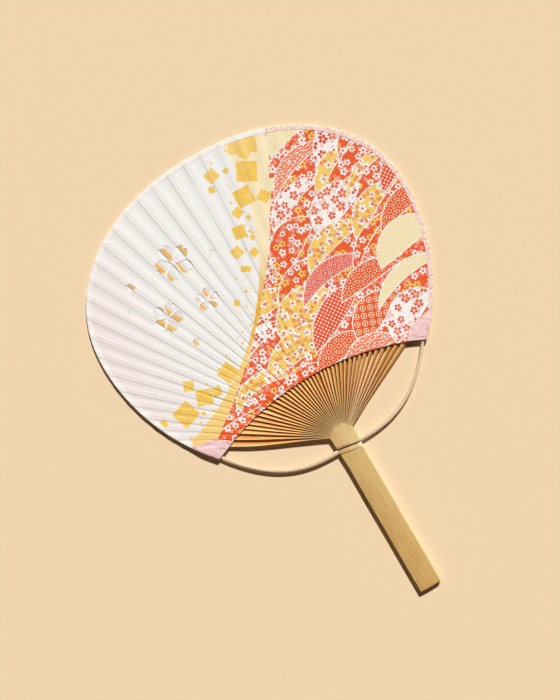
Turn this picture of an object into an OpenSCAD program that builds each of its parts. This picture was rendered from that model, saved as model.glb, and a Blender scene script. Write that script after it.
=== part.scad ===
// Round uchiwa: a flat fan of one split bamboo culm, laced to a bow and papered on both sides.
// The origin lies on the back of the handle, under the point where the bow crosses it.
// +Y runs up the fan to the far rim, +X to its right, and +Z out of the printed front.

/* [Handle] */
// Length of the handle below the bow
handle_l = 119; // [80:1:160]
// Width of the handle
handle_w = 17; // [12:0.5:18]
// Thickness of the handle
handle_t = 5; // [4.4:0.1:7]
// Rise of the bamboo's skin across the width
handle_crown = 0.5; // [0.2:0.05:0.9]
// Radius on the corners of the handle's end
end_round = 0.8; // [0.3:0.1:3]
// Width of the neck above the bow
neck_w = 18.8; // [18.2:0.2:22]
// Height of the neck's shoulders above the bow
neck_l = 11.7; // [9:0.1:16]

/* [Culm node] */
// Height of the pale band shaved flat at the node
node_band = 3.4; // [2:0.1:5]
// Slope of the node across the handle, in degrees
node_tilt = 9; // [0:1:14]
// Depth of the shaved band
node_cut = 0.12; // [0.05:0.01:0.25]
// Width of the dark scar line above the band
scar_w = 0.4; // [0.2:0.05:0.8]
// Depth of the scar line
scar_d = 0.3; // [0.1:0.05:0.5]

/* [Ribs] */
// Number of ribs split from the culm
rib_n = 39; // [25:2:45]
// Width of a rib's slat, measured through the culm's wall
rib_w = 3.4; // [2.6:0.1:3.8]
// Gap that the splitting knife leaves between two ribs
split_gap = 0.04; // [0.02:0.01:0.08]
// Angle from the handle's axis to the outer edge of the fan of ribs
fan_spread = 64; // [56:1:65]
// How much closer the outer ribs stand than the middle ones
rib_crowding = 0.07; // [0:0.01:0.12]
// Length over which a rib turns from on edge to flat
twist_l = 100; // [85:1:110]
// Distance from the ribs' tips to the rim
tip_gap = 3; // [1.5:0.5:8]

/* [Leaf] */
// Width of the leaf
leaf_w = 259.8; // [250:1:275]
// Height of the far rim above the bow
leaf_top = 241.5; // [225:0.5:260]
// Height of the widest line above the bow
leaf_mid = 142; // [134:1:150]
// Depth of the lower curve below the widest line
leaf_low = 144; // [140:1:150]
// Fullness of the upper curve, where 2 is an ellipse
top_fullness = 2.15; // [2:0.05:2.5]
// Fullness of the lower curve
low_fullness = 1.9; // [1.8:0.05:2]
// How far the rim's top is trimmed to the right of the axis
rim_sway = 4.8; // [-6:0.2:6]
// Radius of the papers' lower edge
arch_r = 208; // [190:1:230]
// Height of the middle of the papers' lower edge above the bow
arch_top = 58.7; // [54:0.1:63]
// Thickness of a sheet of paper
paper_t = 0.18; // [0.1:0.01:0.24]
// Depth to which a sheet dips between two ribs
pleat_d = 0.4; // [0.1:0.05:0.5]

/* [Bow] */
// Width of the bow at the handle
bow_w = 3.5; // [2.8:0.1:3.8]
// Thickness of the bow at the handle
bow_t = 3.2; // [2.4:0.1:3.4]
// Width of the bow at its tips
tip_w = 2; // [1.4:0.1:2.2]
// Thickness of the bow at its tips
tip_t = 1.2; // [0.8:0.1:1.4]
// Distance that each tip runs on inside its ear, past the leaf's corner
tip_run = 5.4; // [5:0.2:7]
// Distance from the leaf's corner in to the bow
bow_inset = 2.6; // [2.2:0.1:3]
// How sharply the bow curves near its tips
bow_curve = 2.6; // [2.4:0.05:2.8]
// Clearance between the bow and its hole
bow_clear = 0.1; // [0.04:0.01:0.2]

/* [Lacing thread] */
// Diameter of the thread
thread_d = 0.4; // [0.3:0.02:0.46]
// Distance from the papers' lower edge to the lacing
lacing_in = 4; // [3.4:0.1:5]
// Turns of thread round each tip of the bow
wrap_n = 2; // [1:1:3]

/* [Edge papers] */
// Width of the binding on each face of the rim
bind_w = 3.2; // [2:0.1:5]
// Thickness of the binding paper
bind_t = 0.12; // [0.08:0.01:0.2]
// Number of ribs that an ear covers
ear_ribs = 1; // [1:1:3]
// Height of an ear above the leaf's corner
ear_rise = 17.5; // [15:0.5:22]
// Thickness of the ears' paper
ear_t = 0.15; // [0.1:0.01:0.25]

/* [Openwork] */
// Radius of the largest blossom cut in the front sheet
blossom_r = 15; // [12:0.5:16]
// Width of the paper left between two petals
petal_gap = 1.6; // [1.2:0.1:2.4]
// Half the width of a petal as a share of its length
petal_w = 0.34; // [0.24:0.02:0.4]
// Depth of the notch in a petal's tip as a share of its length
petal_notch = 0.16; // [0:0.02:0.2]

/* [Hidden] */
// Clearances: between pieces that are pasted or laced together, under the folded ears and in the binding
snug = 0.08;
ear_slack = 0.2;
rim_slack = 0.3;
// Height at which the split upper part of the culm begins
split_y = neck_l - 2;
// Point on the axis from which the ribs spread
apex_y = neck_l - neck_w / 2 / tan(fan_spread);
// A rib's thickness is its share of the neck, less the split
rib_t = neck_w / rib_n - split_gap;
rib_last = (rib_n - 1) / 2;
// Radius of the culm's outer skin and of the bow's hole
skin_r = (handle_w * handle_w / 4 + handle_crown * handle_crown) / (2 * handle_crown);
hole_r = bow_w / 2 + bow_clear;
// Middle of the ribs' thickness at their roots, just under the skin, and how far the slats reach into the neck
skin_t = 0.05;
root_in = 1.4;
rib_z = handle_t - skin_t - rib_w / 2;
// Halves of the leaf's thickness: of the laced ribs' cover at the corners, the binding and the ears
corner_h = tip_t / 2 + thread_d + 3 * snug;
bind_in = rib_t / 2 + paper_t + rim_slack;
bind_out = bind_in + bind_t;
// The leaf leans back until its far rim rests level with the handle's back
droop = asin((rib_z - bind_out) / (leaf_top - apex_y));
arch_c = [0, arch_top - arch_r];
// A sheet stands clear of the thread up to cover_in past its lower edge and closes down at close_in
cover_in = lacing_in + 3;
close_in = lacing_in + 9;
// Distances past the papers' lower edge of the lines along which a sheet is folded
fold_in = [0, cover_in, close_in, 34, 60];
fold_n = len(fold_in);
// Length over which the sheets close down beyond the bow's tips
tip_fade = 8;
// Width outside the rim of the walls of the binding and the ears
bind_wall = 0.1;
ear_wall = 0.3;
// Amount by which the inside of an ear is cut past its open edges
ear_cut = 5;
bow_sides = 10;
thread_sides = 6;
wrap_steps = 10;
// Blossoms cut in the front sheet: place of the middle, share of the largest radius, turn
blossoms = [[-44, 181, 1, 8], [-68, 148, 0.8, 30], [-36, 145, 0.62, 50]];
// Loose petals cut beside them: place, length, turn
petals = [[-76, 178, 9, 60], [-20, 170, 8, -50], [-54, 124, 8, 110], [-88, 160, 7, 20]];
petal_n = 5;
petal_steps = 5;

function direction(a) = [sin(a), cos(a)];
function across(a) = [cos(a), -sin(a)];
function mix(a, b, t) = a + (b - a) * t;
function clamp01(t) = min(1, max(0, t));
function reverse(v) = [for (i = [len(v) - 1:-1:0]) v[i]];
// The root of a rising function, by halving
function solve(f, low, high, n = 22) =
    let (m = (low + high) / 2)
    n == 0 ? m : f(m) < 0 ? solve(f, m, high, n - 1) : solve(f, low, m, n - 1);

// The leaf's outline: two half superellipses, sheared a little to one side
function sway(y) = rim_sway * (y - apex_y) / (leaf_top - apex_y);
function reach_y(y) = y > leaf_mid ? leaf_top - leaf_mid : leaf_low;
function fullness(y) = y > leaf_mid ? top_fullness : low_fullness;
function rim_test(p) =
    let (x = abs(p.x - sway(p.y)) / (leaf_w / 2), y = abs(p.y - leaf_mid) / reach_y(p.y), n = fullness(p.y))
    pow(x, n) + pow(y, n) - 1;
function rim_slope(p) =
    let (step = 0.01)
    [rim_test([p.x + step, p.y]) - rim_test([p.x - step, p.y]),
     rim_test([p.x, p.y + step]) - rim_test([p.x, p.y - step])];
function rim_point(a, grow = 0) =
    let (p = [0, leaf_mid] + solve(function (r) rim_test([0, leaf_mid] + r * direction(a)), 10, 400) * direction(a),
         g = rim_slope(p))
    p + grow * g / norm(g);
module outline(grow = 0) {
    polygon([for (a = [0:2.5:357.5]) rim_point(a, grow)]);
}

// Everything beyond the neck leans back with the leaf
module leaf_frame() {
    translate([0, apex_y, rib_z])
        rotate([-droop, 0, 0])
            translate([0, -apex_y, 0])
                children();
}

// A rib is known by its place f across the fan, from -1 at the left edge to 1 at the right edge
function place(i) = 2 * i / rib_n;
function rib_angle(f) = fan_spread * f * (1 + rib_crowding * (1 - f * f));
function root_r(f) =
    abs(f) < 0.001 ? neck_w / 2 / (fan_spread * (1 + rib_crowding) * PI / 180)
                   : f * neck_w / 2 / sin(rib_angle(f));
function twist(r, f) = 90 * clamp01((r - root_r(f)) / twist_l);
function half_depth(r, f) = (rib_w * cos(twist(r, f)) + rib_t * sin(twist(r, f))) / 2;
function half_span(r, f) = (rib_w * sin(twist(r, f)) + rib_t * cos(twist(r, f))) / 2;
function skin_drop(r, f) = handle_crown * f * f * (1 - clamp01((r - root_r(f)) / twist_l));

// Columns run outwards from the apex: angle, place, side of the rib and whether the sheet dips there
function fan_point(col, r) =
    [0, apex_y] + r * direction(col[0]) + col[2] * half_span(r, col[1]) * across(col[0]);
function arch_radius(col) = solve(function (r) norm(fan_point(col, r) - arch_c) - arch_r, 20, 200);
function rim_radius(col) = solve(function (r) rim_test(fan_point(col, r)), 50, 300);
function plain_col(a) = [a, a > 0 ? 1 : -1, 0, 0];
function corner_angle(side) =
    side * solve(function (a) arch_radius(plain_col(side * a)) - rim_radius(plain_col(side * a)), 50, 85);
function corner(side) =
    let (a = corner_angle(side))
    [0, apex_y] + arch_radius(plain_col(a)) * direction(a);
function corner_cols(side) =
    let (edge = side * fan_spread, end = corner_angle(side) - side * 0.6)
    [for (t = [0.35, 0.7, 1]) plain_col(mix(edge, end, t))];
function rib_cols(i) =
    let (f = place(i), next = place(i + 0.5))
    concat([[rib_angle(f), f, -1, 0], [rib_angle(f), f, 1, 0]],
           i < rib_last ? [[rib_angle(next), next, 0, 1]] : []);
function leaf_cols() =
    concat(reverse(corner_cols(-1)), [for (i = [-rib_last:rib_last]) each rib_cols(i)], corner_cols(1));

// The bow's middle line runs straight through the handle and then rises past the leaf's corners
corner_p = corner(1);
bow_reach = corner_p.x + tip_run;
function bow_run(x) = clamp01((abs(x) - neck_w / 2) / (bow_reach - neck_w / 2));
bow_rise = (corner_p.y + 0.3 * bow_inset) / pow(bow_run(corner_p.x - bow_inset), bow_curve);
tip_r = norm([bow_reach, bow_rise - apex_y]) + 1;

// Height of a sheet's inner face over the middle of the leaf
function lacing_cover(past) = (thread_d + 2 * snug) * clamp01((close_in - past) / (close_in - cover_in));
function corner_cover(col, r) = abs(col[0]) > fan_spread ? corner_h * clamp01((tip_r + tip_fade - r) / tip_fade) : 0;
function cover(col, r, past) =
    let (h = max(half_depth(r, col[1]) + snug + lacing_cover(past), corner_cover(col, r)))
    max(h - col[3] * pleat_d, snug / 2);
// Rows of points over the fan, at given distances past the lower edge for each column
function fan_rows(cols, pasts, lift, up = 1) =
    let (starts = [for (c = cols) arch_radius(c)])
    [for (k = [0:len(pasts[0]) - 1]) for (i = [0:len(cols) - 1])
     let (c = cols[i], past = pasts[i][k], r = starts[i] + past, p = fan_point(c, r))
     [p.x, p.y, up * (cover(c, r, past) + lift)]];
function sheet_pasts(cols) =
    [for (c = cols) let (depth = rim_radius(c) - arch_radius(c))
     [for (k = [0:fold_n]) k == fold_n ? depth : min(fold_in[k], depth * k / fold_n)]];

// A closed skin between two grids of points, each with n points in a row
module grid_skin(low, high, n) {
    m = len(low);
    rows = m / n;
    last = m - n;
    faces = concat(
        [for (k = [0:rows - 2]) for (c = [0:n - 2]) let (a = k * n + c)
         each [[a + m, a + n + m, a + n + 1 + m], [a + m, a + n + 1 + m, a + 1 + m],
               [a, a + n + 1, a + n], [a, a + 1, a + n + 1]]],
        [for (c = [0:n - 2])
         each [[c, c + m, c + 1 + m], [c, c + 1 + m, c + 1],
               [last + c, last + c + 1 + m, last + c + m], [last + c, last + c + 1, last + c + 1 + m]]],
        [for (k = [0:rows - 2]) let (a = k * n, b = a + n - 1)
         each [[a, a + n + m, a + m], [a, a + n, a + n + m],
               [b, b + m, b + n + m], [b, b + n + m, b + n]]]);
    polyhedron(points = concat(low, high), faces = faces);
}

// A pleated sheet over one side of the ribs
module pleated_sheet() {
    cols = leaf_cols();
    pasts = sheet_pasts(cols);
    grid_skin(fan_rows(cols, pasts, 0), fan_rows(cols, pasts, paper_t), len(cols));
}

// One unbroken tube through a list of rings, each a list of points in the same turning sense
module ring_tube(rings) {
    s = len(rings[0]);
    top = (len(rings) - 1) * s;
    faces = concat(
        [for (k = [0:len(rings) - 2]) for (j = [0:s - 1])
         let (a = k * s + j, b = k * s + (j + 1) % s)
         each [[a, b, b + s], [a, b + s, a + s]]],
        [for (j = [1:s - 2]) [0, j + 1, j]],
        [for (j = [1:s - 2]) [top, top + j, top + j + 1]]);
    polyhedron(points = [for (r = rings) each r], faces = faces);
}

// A slat that starts on edge in the neck, turns as it spreads and lies flat between the papers
module rib(i) {
    f = place(i);
    a = rib_angle(f);
    r0 = root_r(f);
    tip = rim_radius([a, f, 0, 0]) - tip_gap;
    stations = concat([r0 - root_in], [for (k = [0:6]) r0 + twist_l * k / 6], [tip]);
    rings = [for (r = stations)
             let (t = twist(r, f), broad = [sin(t), cos(t)] * rib_w / 2, thin = [-cos(t), sin(t)] * rib_t / 2,
                  centre = [0, apex_y] + r * direction(a))
             [for (c = [broad + thin, thin - broad, -broad - thin, broad - thin])
              let (p = centre + c.x * across(a)) [p.x, p.y, c.y - skin_drop(r, f)]]];
    ring_tube(rings);
}

function bow_line(x) =
    let (t = bow_run(x), y = bow_rise * pow(t, bow_curve))
    [x, y, mix(handle_t / 2, rib_z - (bow_rise - apex_y) * tan(droop), t)];
function bow_normal(x) =
    let (d = bow_line(x + 0.05) - bow_line(x - 0.05))
    [-d.y, d.x] / norm([d.x, d.y]);
function bow_half(x) = [mix(bow_w, tip_w, bow_run(x)), mix(bow_t, tip_t, bow_run(x))] / 2;
// A point beside the bow, at an angle round its section and a distance off its skin
function bow_skin(x, angle, off) =
    let (h = bow_half(x), n = bow_normal(x), c = bow_line(x), u = (h.x + off) * cos(angle))
    [c.x + n.x * u, c.y + n.y * u, c.z + (h.y + off) * sin(angle)];

// The thread's route past a rib: outwards over it, or inwards under it
function lace_radius(i) =
    let (col = [rib_angle(place(i)), place(i), 0, 0])
    solve(function (r) norm(fan_point(col, r) - arch_c) - arch_r - lacing_in, 20, 200);
function beside(i, r, off, z) =
    let (a = rib_angle(place(i)), p = [0, apex_y] + r * direction(a) + off * across(a))
    [p.x, p.y, z];
function lace_point(p) =
    let (dy = p.y - apex_y)
    [p.x, apex_y + dy * cos(droop) + p.z * sin(droop), rib_z - dy * sin(droop) + p.z * cos(droop)];
function lace_past(i) =
    let (f = place(i), r = lace_radius(i), t = twist(r, f), over = (i + rib_last) % 2 == 0 ? 1 : -1,
         lift = half_depth(r, f) + snug + thread_d / 2, span = half_span(r, f),
         near = rib_w / 2 * sin(t) - rib_t / 2 * cos(t) - 0.1, gap = span + thread_d / 2 + snug + 0.1,
         route = [[near, lift], [span + 0.1, lift], [gap, 0.6 * half_depth(r, f)]],
         steps = over > 0 ? route : [for (q = reverse(route)) -q])
    [for (q = steps) lace_point(beside(i, r, q.x, q.y))];
// The turns round a tip of the bow stand where the lacing meets it
lace_x = solve(function (x) norm([bow_line(x).x, bow_line(x).y] - arch_c) - arch_r - lacing_in, neck_w, bow_reach);
function wrap(side) =
    [for (k = [0:wrap_steps * wrap_n])
     let (turns = k / wrap_steps, x = side * (lace_x + (turns - wrap_n) * (thread_d + snug)))
     bow_skin(x, side * (90 - 360 * turns), thread_d / 2 + snug)];
function lace_route() =
    concat(reverse(wrap(-1)), [for (i = [-rib_last:rib_last]) each lace_past(i)], wrap(1));
// A round section square to the route at each of its points
function ring_at(path, k) =
    let (back = path[max(0, k - 1)], ahead = path[min(len(path) - 1, k + 1)], t = (ahead - back) / norm(ahead - back),
         side = cross(t, [0.31, 0.95, 0.05]), u = side / norm(side), v = cross(t, u))
    [for (j = [0:thread_sides - 1]) let (a = 360 * j / thread_sides)
     path[k] + thread_d / 2 * (cos(a) * u - sin(a) * v)];

// The culm's outline, side and skin, shared by the handle and the split neck above it
module culm_blank(low, high) {
    intersection() {
        translate([0, 0, -1])
            linear_extrude(handle_t + 2)
                children();
        rotate([90, 0, 0])
            translate([0, 0, -high])
                linear_extrude(high - low)
                    intersection() {
                        translate([-neck_w, 0])
                            square([2 * neck_w, handle_t]);
                        translate([0, handle_t - skin_r])
                            circle(r = skin_r, $fn = 180);
                    }
    }
}
// A slab across the skin at the node, down to a given depth below it
module skin_cut(y, height, depth) {
    difference() {
        translate([0, y, handle_t])
            rotate([0, 0, -node_tilt])
                cube([2 * neck_w, height, 4], center = true);
        rotate([90, 0, 0])
            translate([0, handle_t - skin_r, -neck_w])
                cylinder(r = skin_r - depth, h = 2 * neck_w + node_band, $fn = 180);
    }
}
module grip_outline() {
    translate([-handle_w / 2 + end_round, -handle_l + end_round])
        square([handle_w - 2 * end_round, handle_l]);
    translate([-handle_w / 2, -handle_l + end_round])
        square([handle_w, handle_l - end_round]);
    for (s = [-1, 1])
        translate([s * (handle_w / 2 - end_round), -handle_l + end_round])
            circle(r = end_round, $fn = 48);
    translate([-handle_w / 2 + end_round, -handle_l])
        square([handle_w - 2 * end_round, end_round]);
    polygon([[-handle_w / 2, -node_band - 2], [handle_w / 2, -node_band - 2], [neck_w / 2, -node_band / 2],
             [neck_w / 2, split_y], [-neck_w / 2, split_y], [-neck_w / 2, -node_band / 2]]);
}

module handle() {
    root_back = rib_z - rib_w / 2 - split_gap;
    shave_y = hole_r + 1;
    color("#b89a5c")
        difference() {
            culm_blank(-handle_l, split_y)
                grip_outline();
            // Hole drilled through the node for the bow
            translate([0, 0, handle_t / 2])
                rotate([0, 90, 0])
                    cylinder(r = hole_r, h = 2 * neck_w, center = true, $fn = 64);
            // The pith side is shaved away towards the ribs
            rotate([90, 0, 90])
                translate([0, 0, -neck_w])
                    linear_extrude(2 * neck_w)
                        polygon([[shave_y, 0], [split_y, root_back], [split_y + 1, root_back],
                                 [split_y + 1, -1], [shave_y, -1]]);
            skin_cut(-scar_w / 2 - node_band / 2, node_band, node_cut);
            skin_cut(0, scar_w, scar_d);
            skin_cut(-scar_w - node_band, scar_w / 2, scar_d / 2);
        }
}

module ribs() {
    arc = [for (k = [rib_n:-1:-rib_n]) let (f = k / rib_n)
           [0, apex_y] + root_r(f) * direction(rib_angle(f))];
    color("#c99a55")
        union() {
            // The uncut part of the culm that joins the ribs' roots
            difference() {
                culm_blank(split_y, neck_l + neck_w)
                    polygon(concat([[-neck_w / 2, split_y], [neck_w / 2, split_y]], arc));
                translate([-neck_w, 0, -1])
                    cube([2 * neck_w, 2 * neck_w, 1 + rib_z - rib_w / 2 - split_gap]);
            }
            leaf_frame()
                for (i = [-rib_last:rib_last])
                    rib(i);
        }
}

module bow() {
    xs = [for (k = [-16:16]) let (t = abs(k) / 16) (k < 0 ? -1 : 1) * mix(0, bow_reach, pow(t, 0.9))];
    color("#efd9b0")
        ring_tube([for (x = xs) [for (j = [0:bow_sides - 1]) bow_skin(x, -360 * j / bow_sides, 0)]]);
}

module lacing_thread() {
    path = lace_route();
    color("#f2eee2")
        ring_tube([for (k = [0:len(path) - 1]) ring_at(path, k)]);
}

// A notched petal that points along +Y from the middle of its blossom
function petal(r) =
    let (half = 180 / petal_n,
         side = [for (k = [0:petal_steps])
                 let (t = 0.95 * k / petal_steps, y = mix(petal_gap, r, t),
                      room = y * tan(half) - petal_gap / 2 / cos(half))
                 [min(room, petal_w * r * sqrt(sin(180 * t))), y]])
    concat(side, [[0, mix(petal_gap, r, 0.95 - petal_notch)]],
           [for (k = [petal_steps:-1:1]) [-side[k].x, side[k].y]]);
module openwork() {
    for (b = blossoms)
        translate([b[0], b[1]])
            for (k = [0:petal_n - 1])
                rotate(b[3] + 360 / petal_n * k)
                    polygon(petal(b[2] * blossom_r));
    for (p = petals)
        translate([p[0], p[1]])
            rotate(p[3])
                polygon(petal(p[2]));
}
module front_paper() {
    color("#f3efe8")
        leaf_frame()
            difference() {
                pleated_sheet();
                linear_extrude(handle_t)
                    openwork();
            }
}

module back_paper() {
    color("#f7f3ec")
        leaf_frame()
            mirror([0, 0, 1])
                pleated_sheet();
}

// The rim's binding is folded over both faces, from one ear round the top to the other
ear_line = corner_p.y + ear_rise;
module edge_binding() {
    start = ear_line + ear_slack;
    color("#f0d3d2")
        leaf_frame()
            difference() {
                translate([0, 0, -bind_out])
                    linear_extrude(2 * bind_out)
                        outline(bind_wall + bind_t);
                translate([0, 0, -bind_in])
                    linear_extrude(2 * bind_in)
                        outline(bind_wall);
                translate([0, 0, -1 - bind_out])
                    linear_extrude(2 + 2 * bind_out)
                        outline(-bind_w);
                translate([-leaf_w, start - leaf_low, -1 - bind_out])
                    cube([2 * leaf_w, leaf_low, 2 + 2 * bind_out]);
            }
}

// The space between two like surfaces over a corner, which spreads by more on every side
module corner_lens(side, lift, more) {
    first = rib_last - ear_ribs + 0.5;
    over = [for (j = [0:2 * ear_ribs - 1]) side * place(first + (j == 0 ? -more / ear_cut : j) / 2)];
    beyond = plain_col(corner_angle(side) + side * ear_cut);
    cols = concat(side > 0 ? [] : concat([beyond], reverse(corner_cols(side))),
                  [for (f = side > 0 ? over : reverse(over)) [rib_angle(f), f, 0, 0]],
                  side > 0 ? concat(corner_cols(side), [beyond]) : []);
    pasts = [for (c = cols)
             let (end = (ear_line - apex_y) / cos(c[0]) - arch_radius(c) + more)
             [-more, min(cover_in, end / 3), min(close_in, end * 2 / 3), end]];
    grid_skin(fan_rows(cols, pasts, lift, -1), fan_rows(cols, pasts, lift), len(cols));
}
module bow_band(side, grow) {
    xs = [for (k = [0:8]) side * mix(lace_x - 2 * tip_run, bow_reach + ear_slack, k / 8)];
    polygon(concat([for (x = xs) [bow_skin(x, 0, grow).x, bow_skin(x, 0, grow).y]],
                   reverse([for (x = xs) [bow_skin(x, 180, grow).x, bow_skin(x, 180, grow).y]])));
}
// What an ear is folded round: the rim of the sheets and the laced tip of the bow
module folded_edge(side, grow) {
    room = thread_d + 3 * snug + grow;
    translate([0, 0, -handle_t])
        linear_extrude(2 * handle_t) {
            outline(ear_wall + grow);
            bow_band(side, room);
        }
}
module ear(side) {
    lift = paper_t + ear_slack;
    color("#efccd4")
        leaf_frame()
            difference() {
                intersection() {
                    folded_edge(side, ear_t);
                    corner_lens(side, lift + ear_t, 0);
                }
                intersection() {
                    folded_edge(side, 0);
                    corner_lens(side, lift, ear_cut);
                }
            }
}
module left_ear() {
    ear(-1);
}
module right_ear() {
    ear(1);
}

handle();
ribs();
bow();
lacing_thread();
back_paper();
front_paper();
edge_binding();
left_ear();
right_ear();
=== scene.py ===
import bpy
import numpy as np
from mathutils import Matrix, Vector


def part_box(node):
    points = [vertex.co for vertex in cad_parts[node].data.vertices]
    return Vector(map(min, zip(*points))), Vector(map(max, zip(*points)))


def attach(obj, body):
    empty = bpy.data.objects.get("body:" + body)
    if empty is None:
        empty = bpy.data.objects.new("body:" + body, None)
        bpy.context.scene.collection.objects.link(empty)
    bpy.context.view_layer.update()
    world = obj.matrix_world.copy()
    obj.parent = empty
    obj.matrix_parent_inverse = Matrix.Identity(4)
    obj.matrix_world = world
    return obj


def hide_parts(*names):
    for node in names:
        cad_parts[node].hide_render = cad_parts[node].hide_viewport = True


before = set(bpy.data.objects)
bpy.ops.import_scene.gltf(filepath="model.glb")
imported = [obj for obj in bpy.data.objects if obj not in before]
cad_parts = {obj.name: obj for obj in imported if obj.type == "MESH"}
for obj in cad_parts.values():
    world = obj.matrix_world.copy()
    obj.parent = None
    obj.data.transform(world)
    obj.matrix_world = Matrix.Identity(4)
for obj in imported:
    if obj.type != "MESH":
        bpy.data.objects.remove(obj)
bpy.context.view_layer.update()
print("frame loaded")

# Sizes below are in millimetres and degrees, in the frame's own axes: +Y up the fan, +Z out of the print
mm = 0.001

# The fan's shape. Its ribs run out from an apex, and f counts them from -1 at the left to 1 at the right
fan = dict(ribs=39, ribWidth=3.4, splitGap=0.04, spread=64.0, crowding=0.07, twistLength=100.0,
           neckHeight=11.7, handleWidth=17.0, crown=0.5, tipGap=3.0, skinCover=0.05, snug=0.08)
leaf = dict(top=241.5, width=259.8, middle=142.0, low=144.0, topFullness=2.15, lowFullness=1.9, sway=4.8,
            archRadius=208.0, archTop=58.7, paper=0.18, pleat=0.4, thread=0.4, overThread=7.0,
            pastThread=13.0, bindingSlack=0.3, binding=0.12)
# Where a crossing is looked for: radii of the arch and the rim, a corner's angle in radians, and how often
# the span between the two is halved
search = dict(arch=(20, 200), rim=(50, 300), corner=(0.9, 1.48), halvings=40)

handleLow, handleHigh = [np.array(corner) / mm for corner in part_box("handle")]
neckWidth = handleHigh[0] - handleLow[0]
handleThick = handleHigh[2] - handleLow[2]
ribThick = neckWidth / fan["ribs"] - fan["splitGap"]
apexY = fan["neckHeight"] - neckWidth / 2 / np.tan(np.radians(fan["spread"]))
ribZ = handleThick - fan["skinCover"] - fan["ribWidth"] / 2
bindOut = ribThick / 2 + leaf["paper"] + leaf["bindingSlack"] + leaf["binding"]
droop = np.arcsin((ribZ - bindOut) / (leaf["top"] - apexY))
archCentre = np.array([0.0, leaf["archTop"] - leaf["archRadius"]])


def ribAngle(f):
    # The spread times f, and a little more near the middle, where the ribs stand wider apart
    return np.radians(fan["spread"] * f * (1 + fan["crowding"] * (1 - f * f)))


def rootRadius(f):
    # A rib's root lies f times half the neck's width to the side, over the sine of its angle
    middle = neckWidth / 2 / np.radians(fan["spread"] * (1 + fan["crowding"]))
    safe = np.where(np.abs(f) < 1e-3, 1, f)
    return np.where(np.abs(f) < 1e-3, middle, safe * neckWidth / 2 / np.sin(ribAngle(safe)))


def twistShare(r, f):
    # How much of the twist is done: from 0 at the root to 1 one twist length further out
    return np.clip((r - rootRadius(f)) / fan["twistLength"], 0, 1)


def ribTwist(r, f):
    # A quarter turn in all, in even steps along the rib
    return np.radians(90) * twistShare(r, f)


def halfDepth(r, f):
    # Half the height of a turned rectangle: width by the cosine plus thickness by the sine
    t = ribTwist(r, f)
    return (fan["ribWidth"] * np.cos(t) + ribThick * np.sin(t)) / 2


def halfSpan(r, f):
    # Half the breadth of the same rectangle, with sine and cosine exchanged
    t = ribTwist(r, f)
    return (fan["ribWidth"] * np.sin(t) + ribThick * np.cos(t)) / 2


def skinDrop(r, f):
    # The crown of the culm's skin, a parabola over the neck that fades out as the ribs turn
    return fan["crown"] * f * f * (1 - twistShare(r, f))


def rimTest(x, y):
    # Below zero inside the leaf: two half superellipses, sheared a little to one side
    sway = leaf["sway"] * (y - apexY) / (leaf["top"] - apexY)
    above = y > leaf["middle"]
    reach = np.where(above, leaf["top"] - leaf["middle"], leaf["low"])
    power = np.where(above, leaf["topFullness"], leaf["lowFullness"])
    sideways = np.abs(x - sway) / (leaf["width"] / 2)
    return sideways ** power + (np.abs(y - leaf["middle"]) / reach) ** power - 1


def halve(test, low, high, shape):
    # Root of a rising function for a whole array at once, by halving
    low = np.full(shape, float(low))
    high = np.full(shape, float(high))
    for step in range(search["halvings"]):
        middle = (low + high) / 2
        rising = test(middle) < 0
        low = np.where(rising, middle, low)
        high = np.where(rising, high, middle)
    return (low + high) / 2


def fanXY(a, r):
    # Place at a radius from the apex, turned by an angle from straight up
    return r * np.sin(a), apexY + r * np.cos(a)


def archRadius(a):
    # Radius at which a direction meets the circular arch of the leaf's lower edge
    def test(r):
        x, y = fanXY(a, r)
        return np.hypot(x - archCentre[0], y - archCentre[1]) - leaf["archRadius"]
    return halve(test, *search["arch"], a.shape)


def rimRadius(a):
    # Radius at which a direction meets the rim
    return halve(lambda r: rimTest(*fanXY(a, r)), *search["rim"], a.shape)


def leafCorner(side):
    # Angle at which the arch and the rim have the same radius, at the right for 1 and the left for -1
    found = halve(lambda a: archRadius(side * a) - rimRadius(side * a), *search["corner"], (1,))
    return side * float(found[0])


def leanBack(p):
    # From the leaf's own flat frame to the fan's: turned back about the apex until the far rim lies level
    y = p[..., 1] - apexY
    z = p[..., 2]
    return np.stack([p[..., 0], apexY + y * np.cos(droop) + z * np.sin(droop),
                     ribZ - y * np.sin(droop) + z * np.cos(droop)], -1)


def smooth(t):
    # A step from 0 to 1 that starts and ends level
    t = np.clip(t, 0, 1)
    return t * t * (3 - 2 * t)


rightCorner = leafCorner(1)
leftCorner = leafCorner(-1)
cornerX, cornerY = [float(v) for v in fanXY(rightCorner, archRadius(np.array([rightCorner]))[0])]

# The bow's line, whose tips end in the leaf's corners
bow = dict(width=3.5, thick=3.2, tipWidth=2.0, tipThick=1.2, tipRun=5.4, inset=2.6, lift=0.3, curve=2.6,
           cover=8.0, pastTip=1.0, steps=193, sides=24, crowding=0.9, fullness=0.8, rounding=1.0,
           tipLeast=0.15)
bowReach = cornerX + bow["tipRun"]


def bowRun(x):
    # Share of the way from the neck's side to the bow's tip
    return np.clip((np.abs(x) - neckWidth / 2) / (bowReach - neckWidth / 2), 0, 1)


bowRise = (cornerY + bow["lift"] * bow["inset"]) / bowRun(cornerX - bow["inset"]) ** bow["curve"]


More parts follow.
